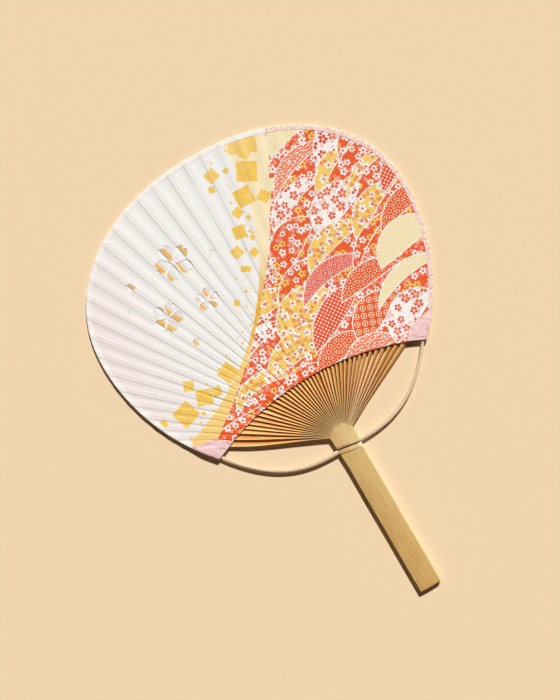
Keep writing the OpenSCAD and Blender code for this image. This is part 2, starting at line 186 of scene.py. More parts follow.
# Mesh tools
def makePiece(name, points, faceSets, node, sharp=0.7):
    # Points are an array in millimetres, faces are arrays of three or four corners. The sum of the faces'
    # triple products is the volume, and where it is below zero the faces are turned to point outwards
    points = np.asarray(points, float).reshape(-1, 3)
    volume = 0.0
    for faces in faceSets:
        p = points[faces]
        for k in range(1, faces.shape[1] - 1):
            volume += np.einsum("ij,ij->i", p[:, 0], np.cross(p[:, k], p[:, k + 1])).sum()
    if volume < 0:
        faceSets = [faces[:, ::-1] for faces in faceSets]
    mesh = bpy.data.meshes.new(name)
    mesh.vertices.add(len(points))
    mesh.vertices.foreach_set("co", (points * mm).ravel())
    corners = np.concatenate([faces.ravel() for faces in faceSets])
    sizes = np.concatenate([np.full(len(faces), faces.shape[1]) for faces in faceSets])
    mesh.loops.add(len(corners))
    mesh.loops.foreach_set("vertex_index", corners)
    mesh.polygons.add(len(sizes))
    mesh.polygons.foreach_set("loop_start", np.cumsum(sizes) - sizes)
    mesh.polygons.foreach_set("use_smooth", np.ones(len(sizes), bool))
    mesh.update(calc_edges=True)
    mesh.validate()
    mesh.set_sharp_from_angle(angle=sharp)
    piece = bpy.data.objects.new(name, mesh)
    bpy.context.scene.collection.objects.link(piece)
    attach(piece, "root")
    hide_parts(node)
    print(name, "made,", len(sizes), "faces")
    return piece


def setUv(piece, uv):
    # One pair of surface coordinates for each vertex, handed to the corners
    layer = piece.data.uv_layers.new(name="surface")
    index = np.empty(len(piece.data.loops), int)
    piece.data.loops.foreach_get("vertex_index", index)
    layer.data.foreach_set("uv", np.asarray(uv, float).reshape(-1, 2)[index].ravel())


def gridFaces(rows, cols, wrap=False):
    # Quads between neighbours of a grid; with wrap the last column joins the first
    i, j = np.meshgrid(np.arange(rows - 1), np.arange(cols if wrap else cols - 1), indexing="ij")
    a = i * cols + j
    b = i * cols + (j + 1) % cols
    return np.stack([a, b, b + cols, a + cols], -1).reshape(-1, 4)


def tubeFaces(rows, cols):
    # A closed tube of rings: side quads and a fan over each end about its last two points
    last = rows * cols
    ring = np.arange(cols)
    ahead = (ring + 1) % cols
    far = last - cols
    lowEnd = np.stack([np.full(cols, last), ahead, ring], -1)
    highEnd = np.stack([np.full(cols, last + 1), far + ring, far + ahead], -1)
    return gridFaces(rows, cols, True), np.concatenate([lowEnd, highEnd])


def slabFaces(rows, cols):
    # A closed slab between two grids: the low one turned over, the high one, and walls round their edge
    count = rows * cols
    index = np.arange(count).reshape(rows, cols)
    edge = np.concatenate([index[0, :-1], index[:-1, -1], index[-1, :0:-1], index[:0:-1, 0]])
    ahead = np.roll(edge, -1)
    faces = gridFaces(rows, cols)
    walls = np.stack([ahead, ahead + count, edge + count, edge], -1)
    return np.concatenate([faces[:, ::-1], faces + count, walls])


def sheetPiece(name, low, high, slot, node, sharp=0.9):
    # A closed sheet between two grids of the same shape
    return makePiece(name, np.concatenate([low, high]), [slabFaces(*low.shape[:2])], node, sharp)


# The two papers
crease = dict(run=1.1, lean=0.8, most=0.36, room=0.49, uneven=0.2, phase=4.7, wave=0.05)
grid = dict(rows=105, crowding=1.15, shoulder=0.7, ends=12, inset=0.6)
ribTable = np.linspace(-1, 1, 400)
angleTable = np.radians(np.linspace(-80, 80, 2001))
archTable = archRadius(angleTable)
rimTable = rimRadius(angleTable)
cornerHeight = bow["tipThick"] / 2 + leaf["thread"] + 3 * fan["snug"]
tipRadius = np.hypot(bowReach, bowRise - apexY) + bow["pastTip"]


def archOf(a):
    # The arch's radius read from its table
    return np.interp(a, angleTable, archTable)


def rimOf(a):
    # The rim's radius read from its table
    return np.interp(a, angleTable, rimTable)


def ribShare(a):
    # The inverse of ribAngle: f for an angle
    return np.interp(a, ribAngle(ribTable), ribTable)


def creasePlaces(r, f):
    # Where a rib's edge lies and how far the crease beside it runs, as shares of the pitch
    pitch = r * np.radians(2 * fan["spread"] / fan["ribs"])
    edge = np.minimum(halfSpan(r, f) / pitch, crease["most"])
    return edge, np.minimum(crease["run"] / pitch, crease["room"] - edge)


def sheetHeight(a, r, side=0):
    # Inner face of a sheet over the leaf's middle: it rises over each rib by what the rib's twist leaves,
    # leans with the twisted rib on the side given, clears the thread near the arch, falls in a crease beside
    # each rib to a flat valley and closes towards the rim
    f = ribShare(a)
    past = r - archOf(a)
    count = f * fan["ribs"] / 2
    away = np.mod(count + 0.5, 1) - 0.5
    edge, run = creasePlaces(r, f)
    valley = smooth((np.abs(away) - edge) / run)
    lean = np.clip(0.5 + 0.5 * side * away / edge, 0, 1) * np.cos(ribTwist(r, f)) * (side != 0)
    wave = np.sin(np.round(count) * crease["phase"] + r * crease["wave"] + side)
    uneven = 1 - crease["uneven"] + crease["uneven"] * wave
    share = (leaf["pastThread"] - past) / (leaf["pastThread"] - leaf["overThread"])
    overThread = (leaf["thread"] + 2 * fan["snug"]) * np.clip(share, 0, 1)
    overTip = cornerHeight * np.clip((tipRadius + bow["cover"] - r) / bow["cover"], 0, 1)
    corner = np.where(np.abs(a) > np.radians(fan["spread"]), overTip, 0)
    top = np.maximum(halfDepth(r, f) + fan["snug"] + overThread, corner)
    inside = np.abs(f) < 1 - 1.0 / fan["ribs"]
    dip = np.where(inside, np.maximum(valley, lean * crease["lean"]), 0)
    return np.maximum(top - dip * leaf["pleat"] * uneven, fan["snug"] / 2)


def sheetPlan():
    # Angle, radius and rib count of a sheet's grid: rows run from the arch to the rim, and eight columns
    # follow the two edges of each rib, the creases beside them and the valley between two ribs
    t = (np.linspace(0, 1, grid["rows"]) ** grid["crowding"])[:, None]
    middle = np.arange(fan["ribs"]) - fan["ribs"] // 2
    f = 2 * middle / fan["ribs"]
    start = archOf(ribAngle(f))
    r = start + t * (rimOf(ribAngle(f)) - start)
    edge, run = creasePlaces(r, f)
    shoulder = grid["shoulder"] * edge
    count = np.stack([np.full_like(r, -0.5), -edge - run, -edge, -shoulder, 0 * edge, shoulder, edge,
                      edge + run], -1) + middle[:, None]
    count = np.concatenate([count.reshape(len(t), -1), np.full((len(t), 1), fan["ribs"] / 2)], 1)
    a = np.interp(2 * count / fan["ribs"], ribTable, ribAngle(ribTable))
    inset = np.radians(grid["inset"])
    left = np.linspace(leftCorner + inset, a[0, 0], grid["ends"])[:-1]
    right = np.linspace(a[0, -1], rightCorner - inset, grid["ends"])[1:]
    a = np.concatenate([np.tile(left, (len(t), 1)), a, np.tile(right, (len(t), 1))], 1)
    start = archOf(a)
    return a, start + t * (rimOf(a) - start), ribShare(a) * fan["ribs"] / 2


planAngle, planRadius, planCount = sheetPlan()


def paperPiece(name, side, slot, node):
    # A sheet over the whole leaf: its inner face, and its outer face one paper thickness further out. Its
    # surface coordinates are the rib count across and the distance from the apex along
    x, y = fanXY(planAngle, planRadius)
    height = sheetHeight(planAngle, planRadius, side)
    inner, outer = [leanBack(np.stack([x, y, side * (height + lift)], -1)) for lift in (0, leaf["paper"])]
    piece = sheetPiece(name, inner, outer, slot, node)
    face = np.stack([planCount, planRadius], -1)
    setUv(piece, [face, face])
    return piece


frontPaper = paperPiece("frontPaper", 1, "printed_paper", "front_paper")
backPaper = paperPiece("backPaper", -1, "plain_paper", "back_paper")

# The comb of ribs: slats, two of which have sprung out a little at the left, and the plate at their roots
slat = dict(steps=60, dip=0.012, edge=0.09, bevel=0.28, bend=0.16, bendRun=110, lean=0.1, leanRun=15,
            sprung=(2.2, 0.8), sprungFrom=15, sprungRun=60)
plate = dict(below=2.0, rows=6, splits=(0.6, 5.0), least=0.3)
splitY = fan["neckHeight"] - plate["below"]
plateBack = ribZ - fan["ribWidth"] / 2 - fan["splitGap"]


def slatRings():
    # Each slat carries an eight-cornered section out along its rib: on edge at the root, turned with the
    # twist until it lies flat, and bent aside by half a sine wave
    edge, bevel = slat["edge"], slat["bevel"]
    corner = np.array([[1, 1 - bevel], [1 - edge, 1], [edge - 1, 1], [-1, 1 - bevel],
                       [-1, bevel - 1], [edge - 1, -1], [1 - edge, -1], [1, bevel - 1]])
    f = (2 * np.arange(-(fan["ribs"] // 2), fan["ribs"] // 2 + 1) / fan["ribs"])[:, None]
    root = rootRadius(f)
    tip = rimRadius(ribAngle(f)) - fan["tipGap"]
    t = np.concatenate([[-slat["dip"]], np.linspace(0, 1, slat["steps"])])
    r = root + t * (tip - root)
    rng = np.random.default_rng(11)
    bend = rng.normal(0, slat["bend"], f.shape) * np.sin(np.clip((r - root) / slat["bendRun"], 0, 1) * np.pi)
    bend = bend + rng.normal(0, slat["lean"], f.shape) * smooth((r - root) / slat["leanRun"])
    sprung = np.array(slat["sprung"])[:, None]
    pair = r[:len(sprung)]
    bend[:len(sprung)] -= sprung * smooth((pair - slat["sprungFrom"]) / slat["sprungRun"]) \
        * smooth((tip[:len(sprung)] - pair) / slat["sprungRun"])
    turn = -ribTwist(r, f)[..., None]
    broad = fan["ribWidth"] / 2 * corner[:, 0]
    thin = ribThick / 2 * corner[:, 1]
    across = np.sin(turn) * broad - np.cos(turn) * thin + bend[..., None]
    height = np.cos(turn) * broad + np.sin(turn) * thin - skinDrop(r, f)[..., None]
    a = ribAngle(f)[..., None]
    x, y = fanXY(a, r[..., None])
    rings = leanBack(np.stack([x + across * np.cos(a), y - across * np.sin(a), height], -1))
    return rings, r, corner[:, 0], rng.random(len(f))


def ribSlats():
    # Points, faces, surface coordinates and tone of all slats. The coordinates are the distance from the
    # apex along and the side across; the ends close over their middles; the tone is one number for a slat
    rings, r, side, tone = slatRings()
    slats, rows, cols = rings.shape[:3]
    points = np.concatenate([rings.reshape(slats, -1, 3), rings[:, [0, -1]].mean(2)], 1)
    uv = np.stack(np.broadcast_arrays(r[..., None], side), -1).reshape(slats, -1, 2)
    ends = np.stack([r[:, [0, -1]], np.zeros((slats, 2))], -1)
    starts = (np.arange(slats) * points.shape[1])[:, None, None]
    faces = [(part + starts).reshape(-1, part.shape[1]) for part in tubeFaces(rows, cols)]
    return points.reshape(-1, 3), faces, np.concatenate([uv, ends], 1).reshape(-1, 2), \
        np.repeat(tone, points.shape[1])


def rootPlate():
    # The uncut part of the culm that joins the roots: a slab from the handle's top to jagged split ends
    # along the curve of the roots, flat behind and crowned like the handle in front
    f = np.linspace(-1, 1, 2 * fan["ribs"] + 1)
    ends = np.random.default_rng(3).uniform(*plate["splits"], fan["ribs"] + 1)
    x, y = fanXY(ribAngle(f), rootRadius(f) + np.repeat(ends, 2)[:len(f)] * (1 - f ** 2) ** 2)
    t = np.linspace(0, 1, plate["rows"])[:, None]
    y = splitY + t * (np.maximum(y, splitY + plate["least"]) - splitY)
    top = handleThick - fan["crown"] * (x / (fan["handleWidth"] / 2)) ** 2
    points = [np.stack(np.broadcast_arrays(x, y, z), -1) for z in (plateBack, top)]
    uv = [np.stack(np.broadcast_arrays(y - apexY, side), -1) for side in (0.0, 1.0)]
    return np.reshape(points, (-1, 3)), slabFaces(*y.shape), np.reshape(uv, (-1, 2))


def combPiece():
    # Slats and plate in one piece, with the tone as an attribute of each point
    points, (quads, ends), uv, tone = ribSlats()
    platePoints, plateFaces, plateUv = rootPlate()
    piece = makePiece("ribComb", np.concatenate([points, platePoints]),
                      [np.concatenate([quads, plateFaces + len(points)]), ends], "ribs", 0.6)
    setUv(piece, np.concatenate([uv, plateUv]))
    layer = piece.data.attributes.new("tone", "FLOAT", "POINT")
    layer.data.foreach_set("value", np.concatenate([tone, np.full(len(platePoints), 0.5)]))
    return piece


ribs = combPiece()


# The bow
def signedPower(value, power):
    # The power of a value's size, with its own sign
    return np.sign(value) * np.abs(value) ** power


def bowPiece():
    # A superellipse, flatter than a circle, carried along y = rise * run ^ curve, straight through the
    # handle; it thins evenly to its tips, which are rounded off by a quarter circle
    x = bowReach * signedPower(np.linspace(-1, 1, bow["steps"]), bow["crowding"])
    run = bowRun(x)
    tipZ = ribZ - (bowRise - apexY) * np.tan(droop)
    z = handleThick / 2 + (tipZ - handleThick / 2) * run
    line = np.stack([x, bowRise * run ** bow["curve"], z], -1)
    aheadX, aheadY = np.gradient(line[:, 0]), np.gradient(line[:, 1])
    size = np.hypot(aheadX, aheadY)
    normal = np.stack([-aheadY / size, aheadX / size, 0 * size], -1)
    angle = np.linspace(0, 2 * np.pi, bow["sides"], endpoint=False)
    past = np.clip((np.abs(x) - bowReach + bow["rounding"]) / bow["rounding"], 0, 1)
    ends = np.sqrt(np.clip(1 - past ** 2, bow["tipLeast"], 1))
    halfWidth = (bow["width"] + (bow["tipWidth"] - bow["width"]) * run) / 2
    halfThick = (bow["thick"] + (bow["tipThick"] - bow["thick"]) * run) / 2
    u = (halfWidth * ends)[:, None] * signedPower(np.cos(angle), bow["fullness"])
    v = (halfThick * ends)[:, None] * signedPower(np.sin(angle), bow["fullness"])
    rings = line[:, None] + u[..., None] * normal[:, None] + v[..., None] * np.array([0, 0, 1])
    points = np.concatenate([rings.reshape(-1, 3), line[:1], line[-1:]])
    piece = makePiece("bowStrip", points, tubeFaces(len(x), len(angle)), "bow")
    along = np.cumsum(size)
    uv = np.stack(np.broadcast_arrays(along[:, None], angle), -1).reshape(-1, 2)
    setUv(piece, np.concatenate([uv, [[along[0], 0], [along[-1], 0]]]))
    return piece


bowStrip = bowPiece()

# The handle. The node is the shaved band across it, tilted, with a scar line above and a fainter one below
grip = dict(node=3.4, tilt=9.0, cut=0.12, scar=0.4, scarDepth=0.3, lowDepth=0.12, edge=0.55, endRound=0.8,
            flareFrom=-22.0, flareRun=30.0, wave=0.05, waveTurn=0.11, waveTo=-6.0, backFrom=2.85,
            endRows=(0, 0.08, 0.25, 0.5, 0.9, 2.0), rows=60, nodeRows=110, nodeFrom=-5.8,
            backColumns=8, edgeColumns=6, skinColumns=18)


def handlePiece():
    # Sections across the culm, carried along it: flat pith side, quarter circles at the edges, and a skin
    # crowned by a parabola. The end is rounded, the sides flare to the neck, the pith side rises to the ribs
    end = handleLow[1]
    y = np.concatenate([end + np.array(grip["endRows"][:-1]),
                        np.linspace(end + grip["endRows"][-1], grip["waveTo"], grip["rows"]),
                        np.linspace(grip["nodeFrom"], splitY, grip["nodeRows"])])[:, None]
    r = grip["endRound"]
    inset = r - np.sqrt(np.clip(r ** 2 - np.clip(r - (y - end), 0, r) ** 2, 0, None))
    flare = smooth((y - grip["flareFrom"]) / grip["flareRun"]) ** 2
    half = fan["handleWidth"] / 2 + (neckWidth - fan["handleWidth"]) / 2 * flare - 0.55 * inset
    wave = grip["wave"] * np.sin(y * grip["waveTurn"]) * smooth((y - end) / 10)
    half = half + wave * (y < grip["waveTo"])
    low = np.clip((y - grip["backFrom"]) / (splitY - grip["backFrom"]), 0, 1) * plateBack + inset * 0.4
    # From the back's middle round the right side to the skin's middle, then the same mirrored
    turn = np.linspace(0, np.pi / 2, grip["edgeColumns"])
    backShare = np.linspace(0, 1, grip["backColumns"] + 1)[:-1]
    skinShare = np.linspace(1, 0, grip["skinColumns"] + 1)[1:]
    r = grip["edge"]
    backX = np.concatenate([backShare * (half - r), half - r + r * np.sin(turn)], 1)
    skinX = np.concatenate([half - r + r * np.cos(turn), skinShare * (half - r)], 1)
    backZ = low + np.concatenate([0 * backShare, r * (1 - np.cos(turn))])
    crown = handleThick - fan["crown"] * (skinX / (fan["handleWidth"] / 2)) ** 2 - inset * 0.5
    skinZ = crown - np.concatenate([r * (1 - np.sin(turn)), 0 * skinShare])
    x = np.concatenate([backX, skinX], 1)
    z = np.concatenate([backZ, skinZ], 1)
    x = np.concatenate([x, -x[:, -2:0:-1]], 1)
    z = np.concatenate([z, z[:, -2:0:-1]], 1)
    # The band is cut down by a smooth step, the two lines by bell curves, all fading off down the sides
    tilted = y + x * np.tan(np.radians(grip["tilt"]))
    onTop = smooth((z - (handleThick - 1.6)) / 0.7)
    band = smooth((0.1 - tilted) / 0.15) * smooth((tilted + grip["node"] + 0.1) / 0.25)
    scar = np.exp(-((tilted - 0.05) / (grip["scar"] * 0.45)) ** 2)
    lower = np.exp(-((tilted + grip["node"] + 0.1) / (grip["scar"] * 0.4)) ** 2)
    z = z - onTop * (band * grip["cut"] + scar * grip["scarDepth"] + lower * grip["lowDepth"])
    rings = np.stack(np.broadcast_arrays(x, y, z), -1)
    points = np.concatenate([rings.reshape(-1, 3), rings[[0, -1]].mean(1)])
    return makePiece("culmHandle", points, tubeFaces(*x.shape), "handle", 0.8)


handle = handlePiece()

# The edge binding and the ears, all sheets folded over the rim
edging = dict(thick=0.12, lift=0.05, over=0.12, rows=700, columns=7, width=3.2)
ears = dict(thick=0.15, lift=0.2, over=0.3, rows=40, columns=16, height=17.5)
# Each ear's corner angle, the height at which it starts on the rim, and the two ends of its inner edge
earPlaces = dict(left=(leftCorner, 57.2, [(-82.7, 54.2), (-71.8, 45.6)]),
                 right=(rightCorner, 58.0, [(82.8, 53.4), (74.8, 45.4)]))


def sheetTop(x, y):
    # Height of a sheet's outer face over the leaf's middle at any place
    a = np.clip(np.arctan2(x, y - apexY), leftCorner, rightCorner)
    r = np.minimum(np.hypot(x, y - apexY), rimOf(a))
    return sheetHeight(a, r) + leaf["paper"]


def rimOutward(x, y, step=0.02):
    # Outward direction of the rim at a point, from the slope of the rim test
    across = rimTest(x + step, y) - rimTest(x - step, y)
    up = rimTest(x, y + step) - rimTest(x, y - step)
    return np.stack([across, up], -1) / np.hypot(across, up)[:, None]


def rimPath(start, end, lowest, highest, count):
    # Points at even steps along the rim between two directions, as far as they lie between two heights
    a = np.linspace(start, end, 4000)
    x, y = fanXY(a, rimRadius(a))
    keep = (y > lowest) & (y < highest)
    x, y = x[keep], y[keep]
    run = np.concatenate([[0], np.cumsum(np.hypot(np.diff(x), np.diff(y)))])
    at = np.linspace(0, run[-1], count)
    return np.stack([np.interp(at, run, x), np.interp(at, run, y)], -1)


def foldSides(columns):
    # 1 over the front, down through 0 at the fold, and -1 behind
    return np.concatenate([np.ones(columns), [0.5, 0, -0.5], -np.ones(columns)])


def foldedPiece(name, inner, rim, sheet, slot, node):
    # A sheet folded over the rim: in even steps from its inner edge out to the rim, a little over it at the
    # fold, and back again behind. It lies on the papers' own height
    t = np.linspace(0, 1, sheet["columns"])
    share = np.concatenate([t, np.ones(3), t[::-1]])[:, None]
    front = foldSides(sheet["columns"])
    atFold = (np.abs(front) < 1)[:, None]
    out = rimOutward(*rim.T)[:, None]
    place = inner[:, None] + (rim - inner)[:, None] * share + out * sheet["over"] * atFold
    further = place + out * sheet["thick"] * atFold
    top = sheetTop(place[..., 0], place[..., 1]) + sheet["lift"]
    faces = [leanBack(np.concatenate([flat, (front * height)[..., None]], -1))
             for flat, height in ((place, top), (further, top + sheet["thick"]))]
    return sheetPiece(name, *faces, slot, node, 1.2)


def bindingPiece():
    # A strip of one width from ear to ear; its second surface coordinate is the side it lies on
    rim = rimPath(leftCorner, rightCorner, cornerY + ears["height"], leaf["top"] + 1, edging["rows"])
    inner = rim - rimOutward(*rim.T) * edging["width"]
    piece = foldedPiece("edgeBinding", inner, rim, edging, "binding_paper", "edge_binding")
    face = np.stack(np.broadcast_arrays(np.arange(len(rim))[:, None], foldSides(edging["columns"])), -1)
    setUv(piece, [face, face])
    return piece


def earPiece(name, side, node):
    # The area between a straight inner edge and the rim, from the ear's top down to the leaf's corner
    corner, top, (innerTop, innerLow) = earPlaces[side]
    rim = rimPath(0, corner, 0, top, ears["rows"])
    return foldedPiece(name, np.linspace(innerTop, innerLow, ears["rows"]), rim, ears, "ear_paper", node)


binding = bindingPiece()
leftEar = earPiece("leftEar", "left", "left_ear")
rightEar = earPiece("rightEar", "right", "right_ear")

# The cut-outs. A blossom has its place, its share of the radius and its turn, a petal its length and turn
openwork = dict(radius=15.0, gap=1.6, width=0.34, notch=0.16, tip=0.95, steps=9, petals=5,
                blossoms=[(-44, 181, 1, 8), (-68, 148, 0.8, 30), (-36, 145, 0.62, 50)],
                loose=[(-76, 178, 9, 60), (-20, 170, 8, -50), (-54, 124, 8, 110), (-88, 160, 7, 20)])


def petalOutline(length):
    # Half width follows the square root of a half sine wave, held off its neighbours; a notch ends the tip
    gap, tip = openwork["gap"], openwork["tip"]
    half = np.pi / openwork["petals"]
    t = tip * np.arange(openwork["steps"] + 1) / openwork["steps"]
    y = gap + (length - gap) * t
    room = y * np.tan(half) - gap / 2 / np.cos(half)
    x = np.minimum(room, openwork["width"] * length * np.sqrt(np.sin(np.pi * t)))
    notchY = gap + (length - gap) * (tip - openwork["notch"])
    return np.concatenate([np.stack([x, y], -1), [[0, notchY]], np.stack([-x[:0:-1], y[:0:-1]], -1)])


def cutter():
    # Prisms of all the petals, in the leaf's own flat frame, from between the sheets to above the front one
    places = [(x, y, share * openwork["radius"], turn + 360 / openwork["petals"] * k)
              for x, y, share, turn in openwork["blossoms"] for k in range(openwork["petals"])]
    points, faces, start = [], [], 0
    for x, y, length, turn in places + openwork["loose"]:
        c, s = np.cos(np.radians(turn)), np.sin(np.radians(turn))
        flat = petalOutline(length) @ [[c, s], [-s, c]] + [x, y]
        n = len(flat)
        points += [np.column_stack([flat, np.full(n, z)]) for z in (0.0, handleThick)]
        ring = np.arange(n) + start
        ahead = np.roll(ring, -1)
        faces += np.stack([ring, ahead, ahead + n, ring + n], -1).tolist()
        faces += [(ring + n).tolist(), ring[::-1].tolist()]
        start += 2 * n
    mesh = bpy.data.meshes.new("cutter")
    mesh.from_pydata((leanBack(np.concatenate(points)) * mm).tolist(), [], faces)
    tool = bpy.data.objects.new("cutter", mesh)
    bpy.context.scene.collection.objects.link(tool)
    return tool


def cutOpenwork(sheet):
    # Takes the prisms out of a sheet and keeps the result as its mesh
    tool = cutter()
    cut = sheet.modifiers.new("openwork", "BOOLEAN")
    cut.operation = "DIFFERENCE"
    cut.solver = "EXACT"
    cut.object = tool
    bpy.context.view_layer.update()
    shown = sheet.evaluated_get(bpy.context.evaluated_depsgraph_get())
    mesh = bpy.data.meshes.new_from_object(shown)
    sheet.modifiers.clear()
    sheet.data = mesh
    bpy.data.objects.remove(tool)
    print("openwork cut,", len(mesh.polygons), "faces")


cutOpenwork(frontPaper)


# Finishes
class Value:
    # One output of a finish's node, so that shader maths reads as arithmetic
    def __init__(self, finish, socket):
        self.finish = finish
        self.socket = socket

    def __add__(self, other):
        return self.finish.math("ADD", self, other)

    def __radd__(self, other):
        return self.finish.math("ADD", other, self)

    def __sub__(self, other):
        return self.finish.math("SUBTRACT", self, other)

    def __rsub__(self, other):
        return self.finish.math("SUBTRACT", other, self)

    def __mul__(self, other):
        return self.finish.math("MULTIPLY", self, other)

    def __rmul__(self, other):
        return self.finish.math("MULTIPLY", other, self)

    def __truediv__(self, other):
        return self.finish.math("DIVIDE", self, other)

    def __pow__(self, other):
        return self.finish.math("POWER", self, other)

    def __lt__(self, other):
        return self.finish.math("LESS_THAN", self, other)

    def __gt__(self, other):
        return self.finish.math("GREATER_THAN", self, other)

    def __abs__(self):
        return self.finish.math("ABSOLUTE", self)


class Finish:
    # A material's node tree; what is the same all over stands on the shader's own sockets
    def __init__(self, name, **fixed):
        self.material = bpy.data.materials.new(name)
        self.material.use_nodes = True
        self.tree = self.material.node_tree
        self.shader = self.tree.nodes["Principled BSDF"]
        for socket, value in fixed.items():
            self.shader.inputs[socket.replace("_", " ")].default_value = value

    def node(self, kind, settings=None, sockets=None, output=0):
        # Any node by its type, its settings first, then a value or a link for each socket named
        made = self.tree.nodes.new("ShaderNode" + kind)
        for key, value in (settings or {}).items():
            setattr(made, key, value)
        for key, value in (sockets or {}).items():
            if isinstance(value, Value):
                self.tree.links.new(value.socket, made.inputs[key])
            else:
                made.inputs[key].default_value = value
        return Value(self, made.outputs[output])

    def math(self, operation, *values):
        return self.node("Math", {"operation": operation}, dict(enumerate(values)))

    def vector(self, operation, *values, output=0, **sockets):
        sockets.update(enumerate(values))
        return self.node("VectorMath", {"operation": operation}, sockets, output)

    def rise(self, value, low, high, start=0.0, end=1.0):
        # Smooth step from start to end while the value goes from low to high
        return self.node("MapRange", {"interpolation_type": "SMOOTHSTEP"},
                         {"Value": value, "From Min": low, "From Max": high, "To Min": start, "To Max": end})

    def mix(self, factor, first, second):
        return self.node("Mix", {"data_type": "RGBA"}, {0: factor, 6: first, 7: second}, 2)

    def noise(self, place, scale, detail=2.0):
        return self.node("TexNoise", None, {"Vector": place, "Scale": scale, "Detail": detail})

    def cells(self, place, spacing, scatter, distance="EUCLIDEAN"):
        # One point in each square of a grid, off its middle by the scatter: the distance to the nearest
        return self.node("TexVoronoi", {"voronoi_dimensions": "2D", "distance": distance},
                         {"Vector": place, "Scale": 1 / spacing, "Randomness": scatter})

    def turned(self, place, turn, kind="TEXTURE"):
        return self.node("Mapping", {"vector_type": kind}, {"Vector": place, "Rotation": (0, 0, turn)})

    def parts(self, vector):
        return [self.node("SeparateXYZ", None, {0: vector}, k) for k in range(3)]

    def channels(self, colour):
        return [self.node("SeparateColor", None, {0: colour}, k) for k in range(3)]

    def join(self, x, y, z=0.0):
        return self.node("CombineXYZ", None, {0: x, 1: y, 2: z})

    def objectPlace(self):
        # Object coordinates in millimetres
        place = self.node("TexCoord", None, None, 3)
        return self.vector("SCALE", place, Scale=1000.0)

    def surface(self):
        return self.parts(self.node("UVMap", {"uv_map": "surface"}))

    def link(self, socket, value):
        self.tree.links.new(value.socket, self.shader.inputs[socket])

    def bump(self, height, distance):
        self.link("Normal", self.node("Bump", None, {"Height": height, "Distance": distance * mm,
                                                     "Strength": 1.0}))


def ink(red, green, blue):
    # A colour as it looks on a screen, 0 to 255, as the linear light that a shader takes
    c = np.array([red, green, blue]) / 255
    return (*np.where(c < 0.04045, c / 12.92, ((c + 0.055) / 1.055) ** 2.4).tolist(), 1.0)


# Finish of the culm's skin on the handle. A pair of numbers is where a change starts and ends, in
# millimetres from the scar line, the middle or, for the pale edges, the side
skin = dict(olive=ink(206, 170, 104), neck=ink(226, 190, 132), golden=ink(196, 147, 77),
            pale=ink(232, 198, 132), paleEdgesAndHighlight=ink(255, 244, 220), dark=ink(112, 70, 30), scar=ink(40, 26, 18),
            shaved=ink(244, 210, 152), chip=ink(172, 110, 50), pith=ink(232, 200, 142),
            pithShade=ink(206, 162, 100), neckShadeSide=(3.0, -8.0), oliveRun=(-110.0, 0.0), oliveShadeLean=4.0,
            neckRun=(-2.0, 1.0), chipsIn=(0.6, 0.9), chipsOut=(1.8, 2.8), chipsSide=(-2.0, 4.0),
            scarPlace=0.3, scarRun=(0.85, 0.5), lowPlace=0.2, lowRun=(0.65, 0.3), lowSide=(7.0, -2.0),
            paleEdgeIn=(0.9, 0.2), paleEdgeFrom=(-1.0, -6.0), bandEnd=(6.0, 8.5), pithDepth=(0.6, 1.4))


def skinLook(f, place):
    # The culm's skin on the handle and on over the neck of the comb, so that no seam shows between them
    x, y, z = f.parts(place)
    fibres = f.noise(f.join(x, y * 0.03, z * 0.6), 2.6, 5.0)
    cloud = f.noise(f.join(x * 0.5, y * 0.12, z), 0.35, 3.0)
    # Painted shade: the neck turns golden towards its left side, away from the lamp. The change from olive
    # near the neck to golden lower down is the culm's own tone, but it leans so that the left side turns
    # golden sooner, which is also painted shade
    neck = f.mix(f.rise(x, *skin["neckShadeSide"]) * 0.4, skin["neck"], skin["golden"])
    base = f.mix(f.rise(y + x * skin["oliveShadeLean"], *skin["oliveRun"]), skin["golden"], skin["olive"])
    base = f.mix(f.rise(y, *skin["neckRun"]), base, neck)
    base = f.mix(f.rise(fibres, 0.35, 0.65) * 0.5, base, skin["pale"])
    base = f.mix(f.rise(cloud, 0.52, 0.75) * 0.4, base, skin["golden"])
    return base, fibres, cloud


